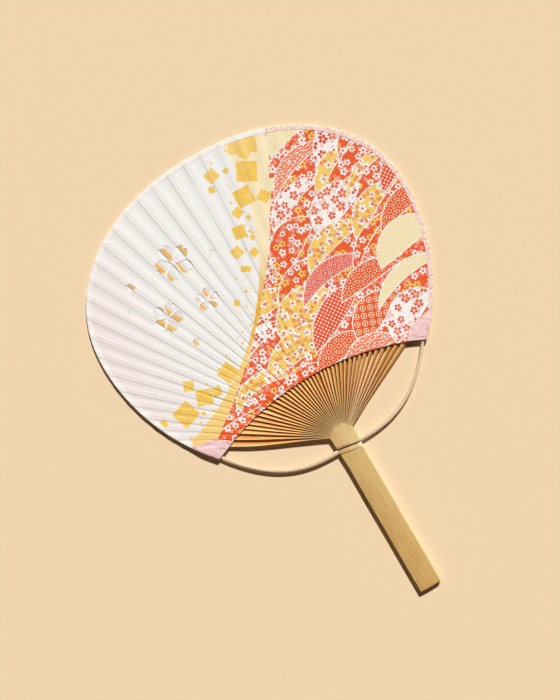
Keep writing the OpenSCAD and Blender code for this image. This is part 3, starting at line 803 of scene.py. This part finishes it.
def skinFinish():
    f = Finish("culmSkin", Coat_Weight=0.12, Coat_Roughness=0.35)
    place = f.objectPlace()
    x, y, z = f.parts(place)
    base, fibres, cloud = skinLook(f, place)
    long = f.join(x, y * 0.03, z * 0.6)
    fleck = f.noise(f.join(x, y * 0.35, z), 1.1, 2.0)
    base = f.mix(f.rise(fleck, 0.7, 0.78) * 0.45, base, skin["dark"])
    tilted = y + x * float(np.tan(np.radians(grip["tilt"])))
    wander = tilted + (f.noise(place, 0.5, 2.0) - 0.5) * 0.5
    band = f.rise(wander, -grip["node"] - 0.25, -grip["node"]) * (1 - f.rise(wander, -0.1, 0.15))
    base = f.mix(band * 0.85, base, skin["shaved"])
    base = f.mix(band * f.rise(f.noise(long, 1.3, 3.0) - x * 0.02, 0.4, 0.66) * 0.7, base, skin["golden"])
    # Chips above the scar line, the line itself, and the fainter line below the band
    chips = f.rise(wander, *skin["chipsIn"]) * (1 - f.rise(wander, *skin["chipsOut"]))
    chips = chips * f.rise(f.noise(place, 0.7, 2.0), 0.44, 0.56)
    base = f.mix(chips * (1 - f.rise(x, *skin["chipsSide"])) * 0.9, base, skin["chip"])
    # The scar line's near-black is partly the node's own dark scar and partly painted shade in its groove
    line = f.rise(abs(tilted - skin["scarPlace"]), *skin["scarRun"])
    base = f.mix(line, base, skin["scar"])
    under = f.rise(abs(wander + grip["node"] + skin["lowPlace"]), *skin["lowRun"])
    under = under * f.rise(x, *skin["lowSide"], 0.45, 1.0)
    base = f.mix(under * 0.95, base, skin["dark"])
    # Paler along the rounded edges, and a painted highlight at the right end of the shaved band
    start, full = [fan["handleWidth"] / 2 - inward for inward in skin["paleEdgeIn"]]
    paleEdgesAndHighlight = f.rise(abs(x), start, full) * f.rise(y, *skin["paleEdgeFrom"])
    base = f.mix(paleEdgesAndHighlight * 0.6, base, skin["shaved"])
    base = f.mix(band * f.rise(x, *skin["bandEnd"]) * 0.8, base, skin["paleEdgesAndHighlight"])
    # The pith side and the cut edges are paler and rougher than the skin, with coarse fibres
    back = 1 - f.rise(z, *skin["pithDepth"])
    coarse = f.noise(f.join(x * 1.6, y * 0.025, z * 2.0), 1.9, 6.0)
    pith = f.mix(f.rise(coarse, 0.35, 0.65), skin["pithShade"], skin["pith"])
    spots = f.noise(f.join(x * 0.8, y * 0.09, 3.0), 1.4, 3.0)
    pith = f.mix(f.rise(spots, 0.6, 0.72) * 0.5, pith, skin["chip"])
    base = f.mix(back * 0.9, base, pith)
    f.link("Base Color", base)
    f.link("Roughness", 0.4 + fibres * 0.15 + band * 0.15)
    f.bump(fibres * 0.6 + cloud * 0.4 + back * coarse * 3.0, 0.05)
    return f.material


# Finish of the split faces and skin edges of the ribs
split = dict(face=ink(236, 166, 76), deep=ink(206, 114, 34), pale=ink(248, 202, 118),
             edge=ink(252, 224, 162), lowEdgeShade=ink(170, 92, 28), dark=ink(120, 62, 20), covered=(80.0, 120.0),
             skinRun=(18.0, 44.0), rootRun=(12.0, 34.0))


def splitFinish():
    f = Finish("splitBamboo", Specular_IOR_Level=0.3)
    u, v, w = f.surface()
    place = f.objectPlace()
    tone = f.node("Attribute", {"attribute_name": "tone"}, None, 2)
    strand = f.noise(f.join(u * 0.05, v * 1.6, tone * 37.0), 2.2, 5.0)
    broad = f.noise(f.join(u * 0.012, tone * 19.0), 1.5, 2.0)
    base = f.mix(f.rise(strand, 0.35, 0.65), split["deep"], split["face"])
    base = f.mix(f.rise(broad, 0.4, 0.7) * 0.5, base, split["pale"])
    base = f.mix(tone * 0.3, base, split["pale"])
    # Paler where the papers cover the ribs, and painted shade in brown on the edge that lies low, turned
    # away from the lamp
    base = f.mix(f.rise(u, *split["covered"]) * 0.65, base, split["pale"])
    base = f.mix(f.rise(v, 0.1, -0.9) * f.rise(u, *split["covered"][::-1], 0.2, 0.75), base, split["lowEdgeShade"])
    # The culm's skin stays on one edge of each slat, and runs on from the handle's at the neck; further out
    # its cream colour is partly a painted highlight on that upper edge
    neck = skinLook(f, place)[0]
    edge = f.rise(v, 0.62, 0.9)
    skinAndHighlight = f.mix(f.rise(u, *split["skinRun"]), neck, split["edge"])
    base = f.mix(edge * 0.9, base, skinAndHighlight)
    root = (1 - f.rise(u, *split["rootRun"])) * f.rise(v, -1.2, 0.3)
    base = f.mix(root, base, neck)
    knots = f.rise(f.noise(f.join(u * 0.3, v, tone * 11.0), 1.0, 1.0), 0.72, 0.78)
    base = f.mix(knots * 0.4, base, split["dark"])
    f.link("Base Color", base)
    f.link("Roughness", 0.6 - edge * 0.15)
    f.bump(strand, 0.04)
    return f.material


# Finish of the peeled strip that makes the bow
peeled = dict(base=ink(232, 206, 174), warm=ink(218, 184, 144), dark=ink(198, 148, 92))


def peeledFinish():
    f = Finish("peeledBamboo")
    u, v, w = f.surface()
    strand = f.noise(f.join(u * 0.04, f.math("COSINE", v) * 2.2, f.math("SINE", v) * 2.2), 1.6, 5.0)
    base = f.mix(f.rise(strand, 0.4, 0.75), peeled["base"], peeled["warm"])
    spot = f.noise(f.join(u * 0.25, f.math("COSINE", v), f.math("SINE", v)), 0.9, 1.0)
    base = f.mix(f.rise(spot, 0.68, 0.76) * 0.5, base, peeled["dark"])
    f.link("Base Color", base)
    f.link("Roughness", 0.4 + strand * 0.15)
    f.bump(strand, 0.03)
    return f.material


# Finish of the cotton thread
cotton = dict(light=ink(242, 236, 222), shade=ink(190, 178, 154), twist=7.0)


def threadFinish():
    f = Finish("cottonThread", Roughness=0.8)
    x, y, z = f.parts(f.objectPlace())
    strand = f.math("SINE", (x + y * 0.4 + z) * cotton["twist"]) * 0.5 + 0.5
    f.link("Base Color", f.mix(strand, cotton["light"], cotton["shade"]))
    f.bump(strand, 0.03)
    return f.material


# Mulberry paper, shared by both sheets, the binding and the ears
paper = dict(white=ink(247, 245, 241), fibre=ink(232, 226, 214), shade=ink(212, 198, 190),
             pink=ink(247, 226, 224), through=ink(226, 214, 194), pinkRun=(-50.0, -135.0), meanRoot=11.0,
             lineOut=0.55, lineSway=2.2)


def fibreLook(f, place):
    # Fine felted fibres: long warped streaks in two directions, and a soft cloud
    x, y, z = f.parts(place)
    first = f.noise(f.join(x * 0.9 + y * 0.2, y * 0.12 - x * 0.05, z), 1.6, 4.0)
    second = f.noise(f.join(y * 0.8 - x * 0.3, x * 0.1 + y * 0.04, z), 1.4, 4.0)
    cloud = f.noise(place, 0.08, 3.0)
    return first, second, cloud


def paperBase(f, place, ribShare):
    # White paper with its fibres, a thin shaded line in the crease on each side of a rib, and fine pleats
    first, second, cloud = fibreLook(f, place)
    u, v, w = f.surface()
    away = f.math("FRACT", u + 0.5) - 0.5
    pitch = v * float(np.radians(2 * fan["spread"] / fan["ribs"]))
    quarter = float(np.pi / 2)
    turn = f.math("MINIMUM", (v - paper["meanRoot"]) * (quarter / fan["twistLength"]), quarter)
    ribEdge = f.math("SINE", turn) * (fan["ribWidth"] / 2) + 0.1
    wander = f.noise(f.join(f.math("ROUND", u) * 3.7, v * 0.02), 1.0, 3.0) - 0.5
    past = abs(away) * pitch - ribEdge - paper["lineOut"] + wander * paper["lineSway"]
    line = f.rise(abs(past), paper["lineOut"], 0.05)
    line = line * f.rise(f.noise(f.join(u * 1.3, v * 0.015), 1.0, 3.0), 0.3, 0.6)
    base = f.mix(f.rise(first, 0.55, 0.8) * 0.4, paper["white"], paper["fibre"])
    base = f.mix(f.rise(second, 0.58, 0.8) * 0.3, base, paper["fibre"])
    base = f.mix(f.rise(past, 0.2, -0.2) * ribShare, base, paper["through"])
    base = f.mix(line * (0.55 - f.math("SIGN", away) * 0.2), base, paper["shade"])
    pleats = f.noise(f.join(u * 2.4, v * 0.012), 1.0, 4.0)
    height = first * 0.4 + second * 0.4 + pleats * 3.0 - line * 1.2
    return base, height, u, v


def backFinish():
    f = Finish("plainPaper", Roughness=0.85, Specular_IOR_Level=0.2)
    place = f.objectPlace()
    base, height = paperBase(f, place, 0.35)[:2]
    f.link("Base Color", base)
    f.bump(height, 0.05)
    return f.material


# The print
inks = dict(orange=ink(240, 82, 22), salmon=ink(246, 126, 84), coral=ink(238, 100, 78),
            yellow=ink(250, 206, 104), cream=ink(250, 238, 202), white=ink(252, 246, 238),
            pink=ink(248, 176, 168), red=ink(222, 62, 48), gold=ink(244, 190, 70),
            paleGold=ink(255, 238, 198), lowGold=ink(253, 214, 134), deepGold=ink(234, 172, 44),
            leafGold=ink(250, 212, 104))
# The white part ends at one large circle and the print begins at another; gold fills the space between.
# Rows of leaves run up to the right; wander, and least and most of tilt, size, top and low bulge, vary them
layout = dict(whiteCentre=(-150.0, 235.0), whiteRadius=181.5, printCentre=(-308.0, 384.0), printRadius=401.3,
              outline=0.34, flow=16.0, first=(30.0, 120.0), across=19.0, along=38.0, rows=(8, -5),
              columns=(-4, 6), half=29.0, bulge=19.0, straight=0.6, wander=4,
              least=(-12, 0.8, 0.75, -0.5), most=(16, 1.12, 1.2, 0.3), pastRim=0.06, pastArch=18,
              order=[0, 3, 1, 7, 4, 0, 7, 8, 1, 2, 0, 7, 3, 1, 6, 8, 7, 0, 5])
# Spacing, size, shift and scatter of blossoms, and spacing, size, turn and scatter of dots
motifs = dict(big=(7.0, 2.9, 3.0), small=(3.6, 1.5, 41.0, 0.8), wide=(8.2, 3.3, 77.0, 0.5),
              specks=(1.5, 0.3, 0.3, 0.9), rowDots=(2.5, 0.62), waveDots=(3.0, 0.62, 0.2, 0.7),
              coralDots=(1.5, 0.34, 0.9, 0.6), creamDots=(2.0, 0.52, 0.5, 0.2), rimDots=(3.1, 0.9, 0.4, 0.8),
              comb=8.6, combRing=(3.5, 0.42, 12.0), combHeart=(1.5, 0.4, 6.0), lattice=5.6, latticeTurn=1.2,
              latticeBar=(1.75, 0.32), latticeGap=0.5, latticeHeart=0.6)


def around(f, flat, centre):
    # Distance from a centre
    return f.vector("DISTANCE", flat, (*centre, 0.0), output=1)


def blossomField(f, flat, spacing, size, shift, scatter=0.55, petals=5):
    # Flowers on a scattered grid: each cell's middle, the angle about it, and a radius with a lobe for each
    # petal. It gives the petals with a bare ring round the heart, the heart, and a shade for each flower
    moved = f.vector("ADD", flat, (shift, shift * 0.7, 0.0))
    owner = f.cells(moved, spacing, scatter).socket.node
    shade = f.channels(Value(f, owner.outputs["Color"]))
    local = f.vector("SUBTRACT", moved, Value(f, owner.outputs["Position"]))
    x, y, z = f.parts(local)
    radius = f.vector("LENGTH", local, output=1)
    angle = f.math("ARCTAN2", y, x) + shade[0] * 6.28
    lobe = abs(f.math("COSINE", angle * (petals / 2)))
    reach = (lobe * 0.75 - lobe ** 9 * 0.22 + 0.38) * (size * (0.8 + shade[1] * 0.35))
    inside = radius < reach
    heart = radius < size * 0.24
    return (radius > size * 0.3) * inside, heart, shade[2]


def dotGrid(f, flat, spacing, size, turn=0.6, scatter=0.0):
    # Round dots, one to each cell of a turned grid
    return f.cells(f.turned(flat, turn), spacing, scatter) < size / spacing


def hexagons(f, flat, size):
    # Distance from the nearest middle of a honeycomb, measured square to its sides, and the angle about it
    tall = size * 3 ** 0.5
    step = (size, tall, 1.0)
    half = (size / 2, tall / 2, 0.0)
    first = f.vector("SUBTRACT", f.vector("WRAP", flat, step, (0, 0, 0)), half)
    other = f.vector("SUBTRACT", f.vector("WRAP", f.vector("ADD", flat, half), step, (0, 0, 0)), half)
    nearer = f.vector("LENGTH", first, output=1) < f.vector("LENGTH", other, output=1)
    local = f.node("Mix", {"data_type": "VECTOR"}, {0: nearer, 4: other, 5: first}, 1)
    x, y, z = f.parts(local)
    side = f.math("MAXIMUM", abs(x), abs(x) * 0.5 + abs(y) * 0.866)
    return side, f.math("ARCTAN2", y, x), f.vector("LENGTH", local, output=1)


def dottedRing(f, distance, angle, radius, thick, dots):
    # A ring at a radius, cut into dots where the cosine of so many times the angle is low
    return (abs(distance - radius) < thick) * (f.math("COSINE", angle * dots) > 0.1)


def fills(f, flat):
    # The nine fillings of the printed leaves, all common traditional patterns
    x, y, z = f.parts(flat)
    big, bigHeart, bigShade = blossomField(f, flat, *motifs["big"])
    small, smallShade = blossomField(f, flat, *motifs["small"])[::2]
    wide, wideHeart, wideShade = blossomField(f, flat, *motifs["wide"])
    specks = dotGrid(f, flat, *motifs["specks"])
    out = []
    # Orange with white, pink and yellow blossoms
    c = f.mix(specks * 0.35, inks["orange"], inks["yellow"])
    c = f.mix(small * (smallShade > 0.45), c, inks["pink"])
    c = f.mix(big, c, f.mix(bigShade > 0.72, inks["white"], inks["yellow"]))
    out.append(f.mix(bigHeart, c, inks["red"]))
    # White with coral and red cherry blossoms
    c = f.mix(small * (smallShade > 0.62), inks["white"], inks["pink"])
    c = f.mix(wide, c, f.mix(wideShade > 0.5, inks["coral"], inks["red"]))
    out.append(f.mix(wideHeart, c, inks["yellow"]))
    # Orange with rows of white dots
    out.append(f.mix(dotGrid(f, flat, *motifs["rowDots"]), inks["orange"], inks["white"]))
    # Honeycomb of dots
    side, angle, radius = hexagons(f, flat, motifs["comb"])
    ring = dottedRing(f, side, angle, *motifs["combRing"])
    heart = dottedRing(f, radius, angle, *motifs["combHeart"])
    out.append(f.mix(f.math("MAXIMUM", ring, heart), inks["orange"], inks["cream"]))
    # Lattice of nested diamonds
    width = motifs["lattice"]
    cell = f.vector("WRAP", f.turned(flat, motifs["latticeTurn"]), (width, width, 1.0), (0, 0, 0))
    dx, dy, dz = f.parts(f.vector("ABSOLUTE", f.vector("SUBTRACT", cell, (width / 2, width / 2, 0.0))))
    nest = f.math("MAXIMUM", dx, dy)
    place, thick = motifs["latticeBar"]
    bars = (abs(nest - place) < thick) * (abs(dx - dy) > motifs["latticeGap"])
    out.append(f.mix(f.math("MAXIMUM", bars, nest < motifs["latticeHeart"]), inks["orange"], inks["cream"]))
    # Salmon with waves and scattered dots
    wave = f.math("FRACT", (y + f.math("SINE", x * 0.55) * 0.9) / 2.4)
    c = f.mix((wave < 0.16) * 0.85, inks["salmon"], inks["white"])
    out.append(f.mix(dotGrid(f, flat, *motifs["waveDots"]), c, inks["white"]))
    # Coral with fine specks
    out.append(f.mix(dotGrid(f, flat, *motifs["coralDots"]) * 0.9, inks["coral"], inks["white"]))
    # Yellow with white and red blossoms
    c = f.mix(wide, inks["yellow"], inks["white"])
    c = f.mix(small * (smallShade > 0.55), c, inks["coral"])
    out.append(f.mix(wideHeart, c, inks["red"]))
    # Cream with fine yellow dots
    out.append(f.mix(dotGrid(f, flat, *motifs["creamDots"]), inks["cream"], inks["yellow"]))
    return out


def leafPatches():
    # Leaves in staggered rows; each is the space between two arcs, whose radius is (half ^ 2 + rise ^ 2)
    # over twice the rise. A low rise below zero makes a crescent. Leaves wholly inside the print's circle,
    # past the rim or below the arch are left out
    rng = np.random.default_rng(5)
    angle = np.radians(layout["flow"])
    along = np.array([np.cos(angle), np.sin(angle)])
    up = np.array([-np.sin(angle), np.cos(angle)])
    order = layout["order"]
    least, most = layout["least"], layout["most"]
    patches = []
    for row in range(*layout["rows"], -1):
        for k in range(*layout["columns"]):
            shift = rng.uniform(-layout["wander"], layout["wander"], 2)
            tilt, size, bulge, low = rng.uniform(least, most)
            centre = np.array(layout["first"]) + along * (layout["along"] * (k + 0.5 * (row % 2))) \
                + up * layout["across"] * row + shift
            reach = layout["half"] * size
            fromPrint = np.hypot(*(centre - layout["printCentre"]))
            fromArch = np.hypot(*(centre - archCentre))
            if fromPrint < layout["printRadius"] - reach * 0.8 \
                    or rimTest(*(centre * 0.98)) > layout["pastRim"] \
                    or fromArch < leaf["archRadius"] - layout["pastArch"]:
                continue
            a = angle + np.radians(tilt)
            side = np.array([-np.sin(a), np.cos(a)])
            topRise, lowRise = layout["bulge"] * bulge, layout["bulge"] * low
            if abs(lowRise) < layout["straight"]:
                lowRise = layout["straight"]
            topRadius = (reach ** 2 + topRise ** 2) / (2 * topRise)
            lowRadius = (reach ** 2 + lowRise ** 2) / (2 * lowRise)
            top = centre + side * (topRise - topRadius)
            low = centre + side * (lowRadius - lowRise)
            patches.append((top, topRadius, low, lowRadius, order[(row * 5 + k * 3) % len(order)]))
    print(len(patches), "printed leaves")
    return patches


def leafKinds(f, flat):
    # Which filling shows at a place, and whether a white outline does: each leaf covers the ones before it
    kind, line = 0.0, 0.0
    for topCentre, topRadius, lowCentre, lowRadius, filling in leafPatches():
        top = around(f, flat, topCentre) - topRadius
        low = around(f, flat, lowCentre)
        low = low - lowRadius if lowRadius > 0 else -lowRadius - low
        depth = f.math("MAXIMUM", top, low)
        inside = depth < 0.0
        outline = f.math("COMPARE", depth, 0.0, layout["outline"])
        kind = f.math("MULTIPLY_ADD", inside, filling - kind, kind)
        line = f.math("MAXIMUM", line - inside, outline)
    return kind, line


# Each square has its place, half its side and its turn; each scatter its spacing, turn, share and size
gilding = dict(squares=[(12, 222, 4.4, 19), (36, 212, 7.6, 62), (25, 197, 6.6, 88), (38, 190, 4.2, 36),
                        (15, 189, 3.5, 21), (9, 176, 4.8, 81), (0, 164, 3.9, 14), (11, 158, 2.9, 20),
                        (-2, 151, 2.2, 60), (-19, 132, 2.2, 50), (7, 213, 2.4, 75), (23, 220, 2.0, 30),
                        (-80, 97, 3.8, 65), (-74, 84, 6.0, 70), (-92, 80, 7.4, 18), (-64, 83, 3.4, 80),
                        (-50, 91, 6.0, 25), (-110, 82, 2.8, 10), (39, 232, 6.4, 60), (47, 228, 5.6, 70),
                        (41, 224, 3.6, 35)],
               scatters=[(11.0, 0.5, 0.95, 0.13), (6.5, 0.15, 1.0, 0.11), (5.0, 0.9, 1.05, 0.09)],
               reach=46.0)


def gildingMask(f, flat, edge):
    # Leaf-cut squares: a few listed one by one, and smaller ones scattered near the gold band
    total = 0.0
    x, y, z = f.parts(flat)
    for left, up, half, turn in gilding["squares"]:
        c, s = [float(wave(np.radians(turn)) / half) for wave in (np.cos, np.sin)]
        across = f.math("MULTIPLY_ADD", x, c, f.math("MULTIPLY_ADD", y, s, -left * c - up * s))
        along = f.math("MULTIPLY_ADD", y, c, f.math("MULTIPLY_ADD", x, -s, left * s - up * c))
        square = f.math("MAXIMUM", abs(across), abs(along)) < 1.0
        total = f.math("MAXIMUM", total, square)
    for spacing, turn, share, small in gilding["scatters"]:
        made = f.cells(f.turned(flat, turn), spacing, 0.9, "CHEBYCHEV")
        owner = made.socket.node
        back = f.turned(Value(f, owner.outputs["Position"]), turn, "POINT")
        shade = f.channels(Value(f, owner.outputs["Color"]))
        near = f.rise(around(f, back, layout["whiteCentre"]), edge - gilding["reach"], edge)
        inside = around(f, flat, layout["whiteCentre"]) < edge
        square = (made < small * (0.5 + shade[1])) * (shade[0] * near > share * 0.62) * inside
        total = f.math("MAXIMUM", total, square)
    return total


def printFinish():
    f = Finish("printedPaper", Roughness=0.72, Specular_IOR_Level=0.2)
    place = f.objectPlace()
    base, height, u, v = paperBase(f, place, 0.1)
    x, y, z = f.parts(place)
    flat = f.join(x, y)
    # Faint pink along the left rim
    base = f.mix(f.rise(x, *paper["pinkRun"], 0.0, 0.75), base, paper["pink"])
    white = around(f, flat, layout["whiteCentre"])
    fromPrint = around(f, flat, layout["printCentre"])
    streak = f.noise(f.join(u * 3.0, v * 0.05), 1.2, 4.0)
    gold = f.mix(f.rise(streak, 0.35, 0.7), inks["deepGold"], inks["gold"])
    gold = f.mix(f.rise(y, 116.0, 92.0) * 0.9, gold, inks["lowGold"])
    band = f.mix(f.rise(y, 118.0, 160.0) * 0.92, gold, inks["paleGold"])
    base = f.mix(white > layout["whiteRadius"], base, band)
    brushed = f.noise(f.join(x * 0.25 + y * 0.05, y * 1.6 - x * 0.4), 1.0, 3.0)
    leafGold = f.mix(f.rise(brushed, 0.35, 0.65), inks["gold"], inks["leafGold"])
    leafGold = f.mix(f.rise(streak, 0.55, 0.7) * 0.5, leafGold, inks["paleGold"])
    leafGold = f.mix(f.rise(y, 214.0, 238.0) * 0.7, leafGold, inks["lowGold"])
    base = f.mix(gildingMask(f, flat, layout["whiteRadius"]), base, leafGold)
    kind, line = leafKinds(f, flat)
    art, *others = fills(f, flat)
    for number, colour in enumerate(others, 1):
        art = f.mix(f.math("COMPARE", kind, number, 0.4), art, colour)
    art = f.mix(line, art, inks["white"])
    edge = fromPrint + (f.noise(flat, 0.05, 1.0) - 0.5) * 4.0
    base = f.mix(edge > layout["printRadius"], base, art)
    rough = f.noise(place, 3.0, 2.0)
    f.link("Base Color", f.mix(rough * 0.03, base, paper["white"]))
    f.bump(height, 0.05)
    return f.material


# The tinted papers on the rim and the corners
tint = dict(pink=ink(246, 208, 204), warm=ink(255, 245, 236), shade=ink(232, 180, 180),
            over=ink(252, 216, 204), printed=ink(246, 172, 148))


def earFinish():
    f = Finish("earPaper", Roughness=0.8, Specular_IOR_Level=0.2)
    place = f.objectPlace()
    first, second, cloud = fibreLook(f, place)
    x, y, z = f.parts(place)
    crease = f.noise(f.join(x * 0.35 + y * 0.3, y * 0.12 - x * 0.1, z * 0.3), 0.5, 3.0)
    base = f.mix(f.rise(first, 0.5, 0.8) * 0.5, tint["pink"], tint["shade"])
    base = f.mix(f.rise(second, 0.55, 0.8) * 0.35, base, paper["white"])
    base = f.mix(f.rise(abs(crease - 0.52), 0.05, 0.01) * 0.5, base, tint["shade"])
    f.link("Base Color", base)
    f.bump(first * 0.15 + second * 0.15 + f.rise(crease, 0.44, 0.56) * 1.1, 0.22)
    return f.material


def bindingFinish():
    # Paper so thin that the print shows through it faintly on the front
    f = Finish("bindingPaper", Roughness=0.8, Specular_IOR_Level=0.2)
    place = f.objectPlace()
    first, second, cloud = fibreLook(f, place)
    x, y, z = f.parts(place)
    u, v, w = f.surface()
    flat = f.join(x, y)
    printed = (around(f, flat, layout["printCentre"]) > layout["printRadius"]) * (v > 0.0)
    blots = f.noise(flat, 0.42, 2.0)
    over = f.mix(f.rise(blots, 0.5, 0.6) * 0.75, tint["over"], tint["printed"])
    over = f.mix(dotGrid(f, flat, *motifs["rimDots"]) * 0.8, over, inks["white"])
    base = f.mix(f.rise(cloud, 0.35, 0.65) * 0.5, tint["warm"], paper["white"])
    base = f.mix(printed, base, over)
    base = f.mix(f.rise(first, 0.5, 0.8) * 0.3, base, paper["fibre"])
    f.link("Base Color", base)
    f.bump(first * 0.5 + second * 0.5, 0.06)
    return f.material


earPaper = earFinish()
for piece, material in ((handle, skinFinish()), (ribs, splitFinish()), (bowStrip, peeledFinish()),
                        (backPaper, backFinish()), (frontPaper, printFinish()), (binding, bindingFinish()),
                        (leftEar, earPaper), (rightEar, earPaper)):
    piece.data.materials.clear()
    piece.data.materials.append(material)
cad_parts["lacing_thread"].material_slots[0].material = threadFinish()
print("finishes made")

# The studio. Floor size and the lamp's place are in metres, the turn and the lamp's width in degrees
studio = dict(turn=-30.17, shown=514.5, centre=(-8.7, 86.3), lens=85.0, sensor=36.0,
              floor=ink(247, 219, 180), floorSize=12.0, floorGap=0.05, key=4.05, keyWidth=5.0,
              keyFrom=(1.8, 1.91, 2.45), fill=0.04, sky=ink(255, 240, 218), wall=ink(246, 234, 214))


def studioFloor():
    # A plain painted floor, a hair below the fan
    bpy.ops.mesh.primitive_plane_add(size=studio["floorSize"], location=(0, 0, -studio["floorGap"] * mm))
    floor = bpy.context.object
    floor.name = "floor"
    finish = Finish("floorPaint", Roughness=0.9)
    finish.shader.inputs["Base Color"].default_value = studio["floor"]
    floor.data.materials.append(finish.material)


def studioCamera():
    # Straight above, as far off as makes the picture show the height given, and turned as the photo is
    camera = bpy.data.objects.new("camera", bpy.data.cameras.new("camera"))
    bpy.context.scene.collection.objects.link(camera)
    camera.data.lens = studio["lens"]
    camera.data.sensor_width = studio["sensor"]
    camera.data.sensor_fit = "VERTICAL"
    camera.data.sensor_height = studio["sensor"]
    distance = studio["shown"] * mm * studio["lens"] / studio["sensor"]
    camera.location = (studio["centre"][0] * mm, studio["centre"][1] * mm, distance)
    camera.rotation_euler = (0, 0, np.radians(studio["turn"]))
    bpy.context.scene.camera = camera


def studioLamp():
    # A sun lamp, aimed from its place at the origin
    lamp = bpy.data.objects.new("key", bpy.data.lights.new("key", "SUN"))
    bpy.context.scene.collection.objects.link(lamp)
    lamp.data.angle = np.radians(studio["keyWidth"])
    lamp.data.energy = studio["key"]
    lamp.location = studio["keyFrom"]
    lamp.rotation_euler = lamp.location.to_track_quat("Z", "Y").to_euler()


def studioSky():
    # A low even fill light, which camera and reflections see as a pale wall
    world = bpy.data.worlds.new("world")
    world.use_nodes = True
    tree = world.node_tree
    fillLight = tree.nodes["Background"]
    fillLight.inputs["Color"].default_value = studio["sky"]
    fillLight.inputs["Strength"].default_value = studio["fill"]
    wall = tree.nodes.new("ShaderNodeBackground")
    wall.inputs["Color"].default_value = studio["wall"]
    path = tree.nodes.new("ShaderNodeLightPath")
    seen = path.outputs["Is Camera Ray"]
    for ray in ("Is Glossy Ray", "Is Transmission Ray"):
        either = tree.nodes.new("ShaderNodeMath")
        either.operation = "MAXIMUM"
        tree.links.new(seen, either.inputs[0])
        tree.links.new(path.outputs[ray], either.inputs[1])
        seen = either.outputs[0]
    mixed = tree.nodes.new("ShaderNodeMixShader")
    tree.links.new(seen, mixed.inputs[0])
    tree.links.new(fillLight.outputs[0], mixed.inputs[1])
    tree.links.new(wall.outputs[0], mixed.inputs[2])
    tree.links.new(mixed.outputs[0], tree.nodes["World Output"].inputs["Surface"])
    return world


studioFloor()
studioCamera()
studioLamp()
bpy.context.scene.world = studioSky()
bpy.context.scene.view_settings.view_transform = "Standard"
print("studio made")
